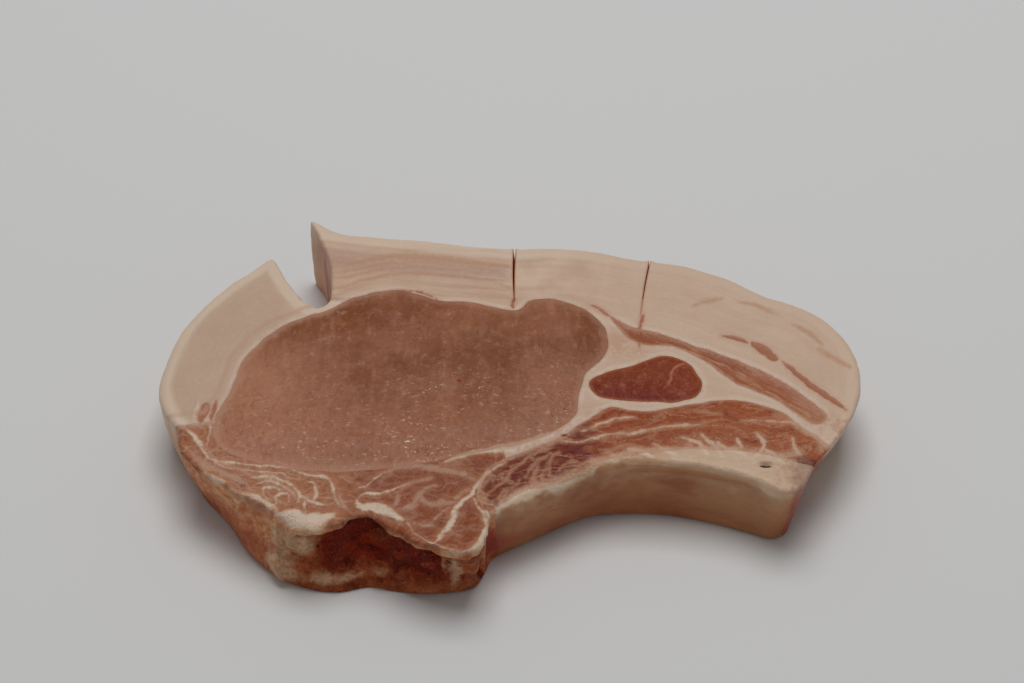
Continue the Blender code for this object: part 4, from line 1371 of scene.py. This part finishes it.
# %% The meat over the chine and its wall
def chine_lean_finish():
    paint = Paint("chine_lean")
    seam, white, haze, pale, blood, deep = paint.known(
        "seam", "white", "haze", "pale", "blood", "deep")
    bend = paint.noise(7, detail=1, shift=3)
    swirl = paint.add("CombineXYZ", {},
                      {"X": paint.x + bend * 2.4, "Y": paint.y - bend * 2, "Z": paint.z * 0.8 + bend})
    fibre = paint.noise(1.4, detail=3, rough=0.6, stretch=(0.35, 1.1, 0.7), at=swirl)
    patch = paint.noise(4.5, detail=3, rough=0.6, shift=6)
    blot = paint.noise(1.9, rough=0.6, shift=9)
    grain = paint.noise(0.8, rough=0.6, shift=2)
    thread = paint.ridge(3.6, 0.09, stretch=(0.5, 1, 0.7), at=swirl)
    whorl = (paint.x + patch).above(-44, -38)
    line = (white + grain * 0.25 + blot * 0.2).below(-0.4, 0.5)
    far_left = paint.x.below(-74, -66)
    colour = paint.stack(
        paint.over(whorl, (140, 91, 69), (121, 68, 49)),
        ((-patch).above(0, 0.9) * 0.65, (106, 46, 29)),
        (patch.above(0.1, 1.1) * 0.4, (162, 118, 97)),
        (blot.above(0.1, 0.9) * (0.5 - whorl * 0.15), (166, 121, 95)),
        ((-blot).above(0.1, 0.9) * (0.6 - whorl * 0.2), (104, 46, 30)),
        (fibre.above(0.1, 1) * 0.4, (166, 124, 102)),
        ((-grain).above(0.1, 1) * 0.4, (106, 54, 39)),
        (thread * (0.4 - whorl * 0.2), (170, 138, 118)),
        ((haze + blot * 0.4).below(0, 2) * 0.3, (150, 108, 89)),
        ((haze + blot * 0.5 + grain * 0.2).below(-0.6, 0.5) * 0.6, (164, 133, 116)),
        ((white + blot * 0.6).below(0, 2) * 0.5, (158, 114, 92)),
        (line * (patch * 0.5 + blot * 0.6).above(-1, 0.1) * 0.8, (172, 143, 124)),
        ((white + grain * 0.35 + blot * 0.5).below(-0.8, 0.1) * 0.85, (187, 169, 153)),
        ((seam + grain * 0.4 + blot * 0.3).below(-0.2, 1.4) * 0.4, (158, 116, 94)),
        ((seam + grain * 0.5 + blot * 1.3 + patch * 0.8).below(0.2, 2.6) * far_left * 0.85,
         (168, 142, 124)))
    wall = (deep + patch * 0.6).above(0.6, 2.6)
    # painted shade: the wall darker towards the floor
    low = (deep + patch * 2).above(5, 17)
    wall_tone = paint.stack(
        paint.over((fibre + patch * 0.7).above(-0.5, 0.8), (158, 88, 54), (208, 148, 104)),
        (blot.above(0.2, 1) * 0.3, (188, 140, 106)),
        ((-blot).above(0.2, 1) * 0.35, (118, 54, 32)),
        (thread * 0.25, (190, 150, 120)),
        (low * 0.5, (126, 64, 40)))
    colour = paint.stack(
        colour,
        (wall * 0.9, wall_tone),
        ((blood + blot * 0.15).above(0.3, 0.9) * 0.85, paint.over(wall, (112, 52, 38), (128, 40, 18))))
    # painted shade on the walls
    colour = paint.shaded(deep.above(3, 16), colour, WALL_SHADE)
    colour = cartilage(paint, (pale + patch * 0.3 + blot * 0.1).above(0.25, 0.8) * (0.35 + wall * 0.55),
                       colour, blot + fibre * 0.5)
    bump = fibre * 0.5 + grain * 0.6 + blot * 0.6 + patch * 0.8 + line * 0.8
    return paint.finish(colour, 0.44 + grain * 0.05, bump, 0.2, 0.22, (1, 0.5, 0.35), 0.08, sheen=0.4)


# %% [markdown]
# The saw left the backbone rough: red marrow smeared over cream gristle.  Painted
# shade darkens it in the hollows and right under the lip of meat, and its ridges are
# painted paler.  The relief of the skin and the tones read the same spots, so a cream
# place stands out and a red one lies deeper.

# %% The sawn bone
def chine_bone_finish():
    paint = Paint("sawn_bone")
    pale, blood, rise, under = paint.known("pale", "blood", "rise", "under")
    patch = paint.noise(4, detail=3, rough=0.65, shift=6)
    blot = paint.noise(1.8, detail=3, rough=0.6, shift=9)
    grain = paint.noise(0.8, rough=0.7, shift=2)
    strand = paint.noise(2, detail=4, rough=0.6, stretch=(1, 1, 0.4), shift=4)
    where = paint.add("VectorMath", {"operation": "ADD"}, {0: paint.mm, 1: (3, 3, 3)})
    pore = paint.add("TexVoronoi", {"voronoi_dimensions": "3D"}, {"Vector": where, "Scale": 1 / 1.5})
    # deepest marrow red, and painted shade along the sunk lines under the red zone
    dark = (blood + strand * 0.3 + blot * 0.2).above(0.75, 1.2)
    lump = (pale + patch * 0.25 + strand * 0.1).above(0.25, 0.85) * 0.85
    colour = paint.stack(
        # base tone: noise, with the ridges of the relief painted paler and its hollows darker, as painted
        # light and shade
        paint.over((patch + rise * 0.6).above(-1.2, 0.6), (112, 52, 30), (152, 90, 62)),
        (strand.above(0.1, 1) * 0.5, (176, 122, 86)),
        ((blood + patch * 0.35).above(0.2, 0.9) * 0.9, (152, 58, 34)),
        (blot.above(0.1, 0.9) * 0.6, (196, 108, 74)),
        ((-blot).above(0.1, 0.9) * 0.6, (80, 28, 20)),
        (dark * 0.85, (74, 34, 24)),
        # painted shade in the hollows of the relief and just under the lip
        ((-rise - under * 0.05 + blot * 0.3).above(0.8, 2.4) * 0.5, (76, 34, 24)))
    colour = paint.shaded(1, colour, (0.96, 0.8, 0.62))
    colour = paint.stack(
        cartilage(paint, lump, colour, blot + strand * 0.5),
        ((-strand).above(0.4, 1.1) * 0.4, (104, 50, 28)),
        ((-grain).above(0.3, 1.1) * 0.35, (80, 32, 18)),
        (grain.above(0.5, 1.1) * 0.25, (170, 118, 86)))
    shade = (under + blot * 0.5).below(0.3, 3.2) * paint.x.above(-56, -46)
    colour = paint.shaded(shade * 0.6, colour, (0.56, 0.46, 0.42))
    bump = patch * 0.9 + grain * 0.7 + strand * 0.9 + blot * 0.8 - pore * 0.5
    return paint.finish(colour, 0.4 + grain * 0.06, bump, 0.5, 0.15, (1, 0.5, 0.35),
                        (grain * 0.6 + blot * 0.6).above(0.3, 0.8) * 0.5, 0.14, sheen=0.3)


# %% [markdown]
# The rib lies along the lower edge.  From above only its cartilage and the edge of
# the membrane show, as a white band; its side is the smooth membrane of the chest.

# %% The rib under its membrane
def rib_finish():
    paint = Paint("rib_membrane")
    seam, deep, white, pale, blood = paint.known("seam", "deep", "white", "pale", "blood")
    cloud = paint.noise(10, detail=3, rough=0.6, stretch=(0.6, 1, 1), shift=3)
    patch = paint.noise(4, detail=3, rough=0.6, shift=6)
    blot = paint.noise(1.8, rough=0.6, shift=9)
    grain = paint.noise(0.8, shift=2)
    vein = paint.noise(2.6, detail=3, stretch=(0.35, 1, 1), shift=8)
    top = (deep + blot * 0.3).below(0.6, 1.6)
    edge = (seam + blot * 0.5 + patch * 0.3).below(0.5, 1.7)
    end = (paint.x + patch * 2).above(64, 74)
    left = (paint.x + patch * 2).below(14, 24)
    crease = paint.x.above(26, 34) * paint.x.below(62, 68) * abs(deep + patch * 0.3 - 3.4).below(0.3, 1.3)
    lower = (deep + cloud * 2.5 + patch).above(8, 18)
    cool = (paint.x + cloud * 3).above(44, 54) * paint.x.below(68, 73)
    colour = paint.stack(
        paint.over((cloud + patch * 0.5).above(-0.9, 0.9), (150, 104, 78), (178, 145, 118)),
        (lower * 0.6, (144, 88, 64)),
        ((vein + patch * 0.3).above(0.2, 1) * 0.55, (138, 80, 56)),
        ((-vein).above(0.3, 1.1) * 0.35, (190, 156, 126)),
        (cool * 0.5 * (1 - lower * 0.4), (176, 154, 128)),
        (cool * (blot + patch).above(0.4, 1.2) * 0.4, (140, 112, 96)),
        ((patch + cloud * 0.5).above(0.3, 1.2) * 0.4, (170, 152, 132)),
        # a warm darker band along the crease: partly the membrane's tone, partly painted shade
        (crease * 0.6, (158, 104, 66)),
        ((pale + patch * 0.2 + blot * 0.1).above(0.3, 0.8) * 0.7, (188, 166, 146)),
        ((blood + patch * 0.15 + blot * 0.1).above(0.25, 0.8) * 0.85,
         paint.over(paint.x.above(0, 10), (156, 50, 22), (142, 68, 44))),
        (top, paint.over((paint.x + cloud * 3).above(34, 46), (161, 128, 102), (174, 150, 130))),
        (top * (cloud + blot * 0.2).above(0, 1.1) * 0.4, (158, 122, 98)),
        (top * left * 0.7, (150, 106, 80)),
        ((white + blot * 0.3).below(-0.4, 0.5) * (1 - end * 0.5)
         * (deep + blot * 0.5 + patch * 0.6).below(1.6, 3.6) * 0.9, (184, 164, 146)),
        (top * end * (blot * 0.6 + patch).above(-0.4, 0.6) * 0.6, (146, 108, 90)),
        (top * edge * (1 - end * 0.5), (176, 156, 139)))
    # painted shade: the walls darker and warmer than the top
    colour = paint.shaded(deep.above(2, 8), colour, (0.77, 0.56, 0.4))
    bruise = (blood + blot * 0.1).above(0.25, 0.9) * deep.below(3, 5)
    hole = (blood + grain * 0.1).above(0.45, 0.7) * deep.below(2, 3) * paint.x.below(69, 71)
    colour = paint.stack(colour, (bruise * 0.6, (126, 96, 88)), (hole, (50, 20, 24)))
    bump = cloud * 0.3 + patch * 0.6 + grain * 0.2 + blot * 0.5 + vein * 0.4 - crease * 0.8
    return paint.finish(colour, 0.42 + grain * 0.04, bump, 0.16, 0.22, (1, 0.7, 0.5), 0.06)


# %% [markdown]
# ## Hand the skins over
# Each skin rides on the one body and stands for its solid in the frame, which is
# hidden; its finish bears the name given as its slot in the table below.

# %% Give each skin its finish, its node and its slot
HANDOVER = {
    "eye": ("loin_eye", "loin_lean", eye_finish),
    "cap": ("cap_muscle", "dark_lean", cap_finish),
    "strip": ("lean_strip", "strip_lean", strip_finish),
    "rib_lean": ("rib_meat", "rib_lean", rib_lean_finish),
    "chine_bone": ("chine_bone", "sawn_bone", chine_bone_finish),
    "chine_lean": ("chine_meat", "chine_lean", chine_lean_finish),
    "rib_bone": ("rib", "rib_membrane", rib_finish),
    "fat": ("fat_cap", "fat", fat_finish),
}
for name, (node, slot, finish_of) in HANDOVER.items():
    piece = pieces[name]
    piece.data.materials.append(finish_of())
    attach(piece, "root")
    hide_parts(node)
    print(name, "stands for", node, "with", len(piece.data.materials[0].node_tree.nodes),
          "nodes")

# %% [markdown]
# ## Floor, light, camera
# A pale matt floor, a dim room all round and one large soft lamp high behind the
# chop, like a window.  The camera looks down at the cut face.

# %% Floor
FLOOR_HALF = 4.0
along, across = np.meshgrid([-FLOOR_HALF, FLOOR_HALF], [-FLOOR_HALF, FLOOR_HALF], indexing="ij")
sheet = bpy.data.meshes.new("floor")
sheet.from_pydata(np.column_stack([along.ravel(), across.ravel(), np.zeros(4)]), [],
                  [(0, 2, 3, 1)])
floor = bpy.data.objects.new("floor", sheet)
bpy.context.scene.collection.objects.link(floor)
matt = Paint("pale_floor")
shade = matt.add("BsdfPrincipled", {}, {"Base Color": (0.78, 0.785, 0.79, 1), "Roughness": 0.8,
                                        "Specular IOR Level": 0.2})
matt.add("OutputMaterial", {}, {"Surface": shade}, output=None)
floor.data.materials.append(matt.material)

# %% Light
WINDOW = (0.04, 0.38, 1.38)
lamp = bpy.data.lights.new("window", "AREA")
lamp.shape, lamp.size, lamp.energy = "SQUARE", 0.8, 9.9
window = bpy.data.objects.new("window", lamp)
window.location = WINDOW
# It faces the middle of the floor: a tilt from straight down, then a turn.
window.rotation_euler = (math.acos(WINDOW[2] / np.linalg.norm(WINDOW)), 0,
                         math.atan2(-WINDOW[1], -WINDOW[0]) - math.pi / 2)
bpy.context.scene.collection.objects.link(window)
world = bpy.data.worlds.new("room")
world.use_nodes = True
room = world.node_tree.nodes["Background"].inputs
room["Color"].default_value = (1.0, 0.975, 0.94, 1)
room["Strength"].default_value = 0.22
bpy.context.scene.world = world
bpy.context.scene.view_settings.view_transform = "Standard"

# %% Camera, aimed at the top face behind the outlines' mark
CAMERA_RISE = math.radians(47.0)
CAMERA_AWAY = 0.8138
AIM = (-PLAN_CENTRE[0] * MM, (26 - PLAN_CENTRE[1]) * MM, THICKNESS * MM)
lens = bpy.data.cameras.new("camera")
lens.lens = 105.96
lens.sensor_width = 36.0
camera = bpy.data.objects.new("camera", lens)
camera.location = (AIM[0], AIM[1] - CAMERA_AWAY * math.cos(CAMERA_RISE),
                   AIM[2] + CAMERA_AWAY * math.sin(CAMERA_RISE))
camera.rotation_euler = (math.pi / 2 - CAMERA_RISE, 0, 0)
bpy.context.scene.collection.objects.link(camera)
bpy.context.scene.camera = camera
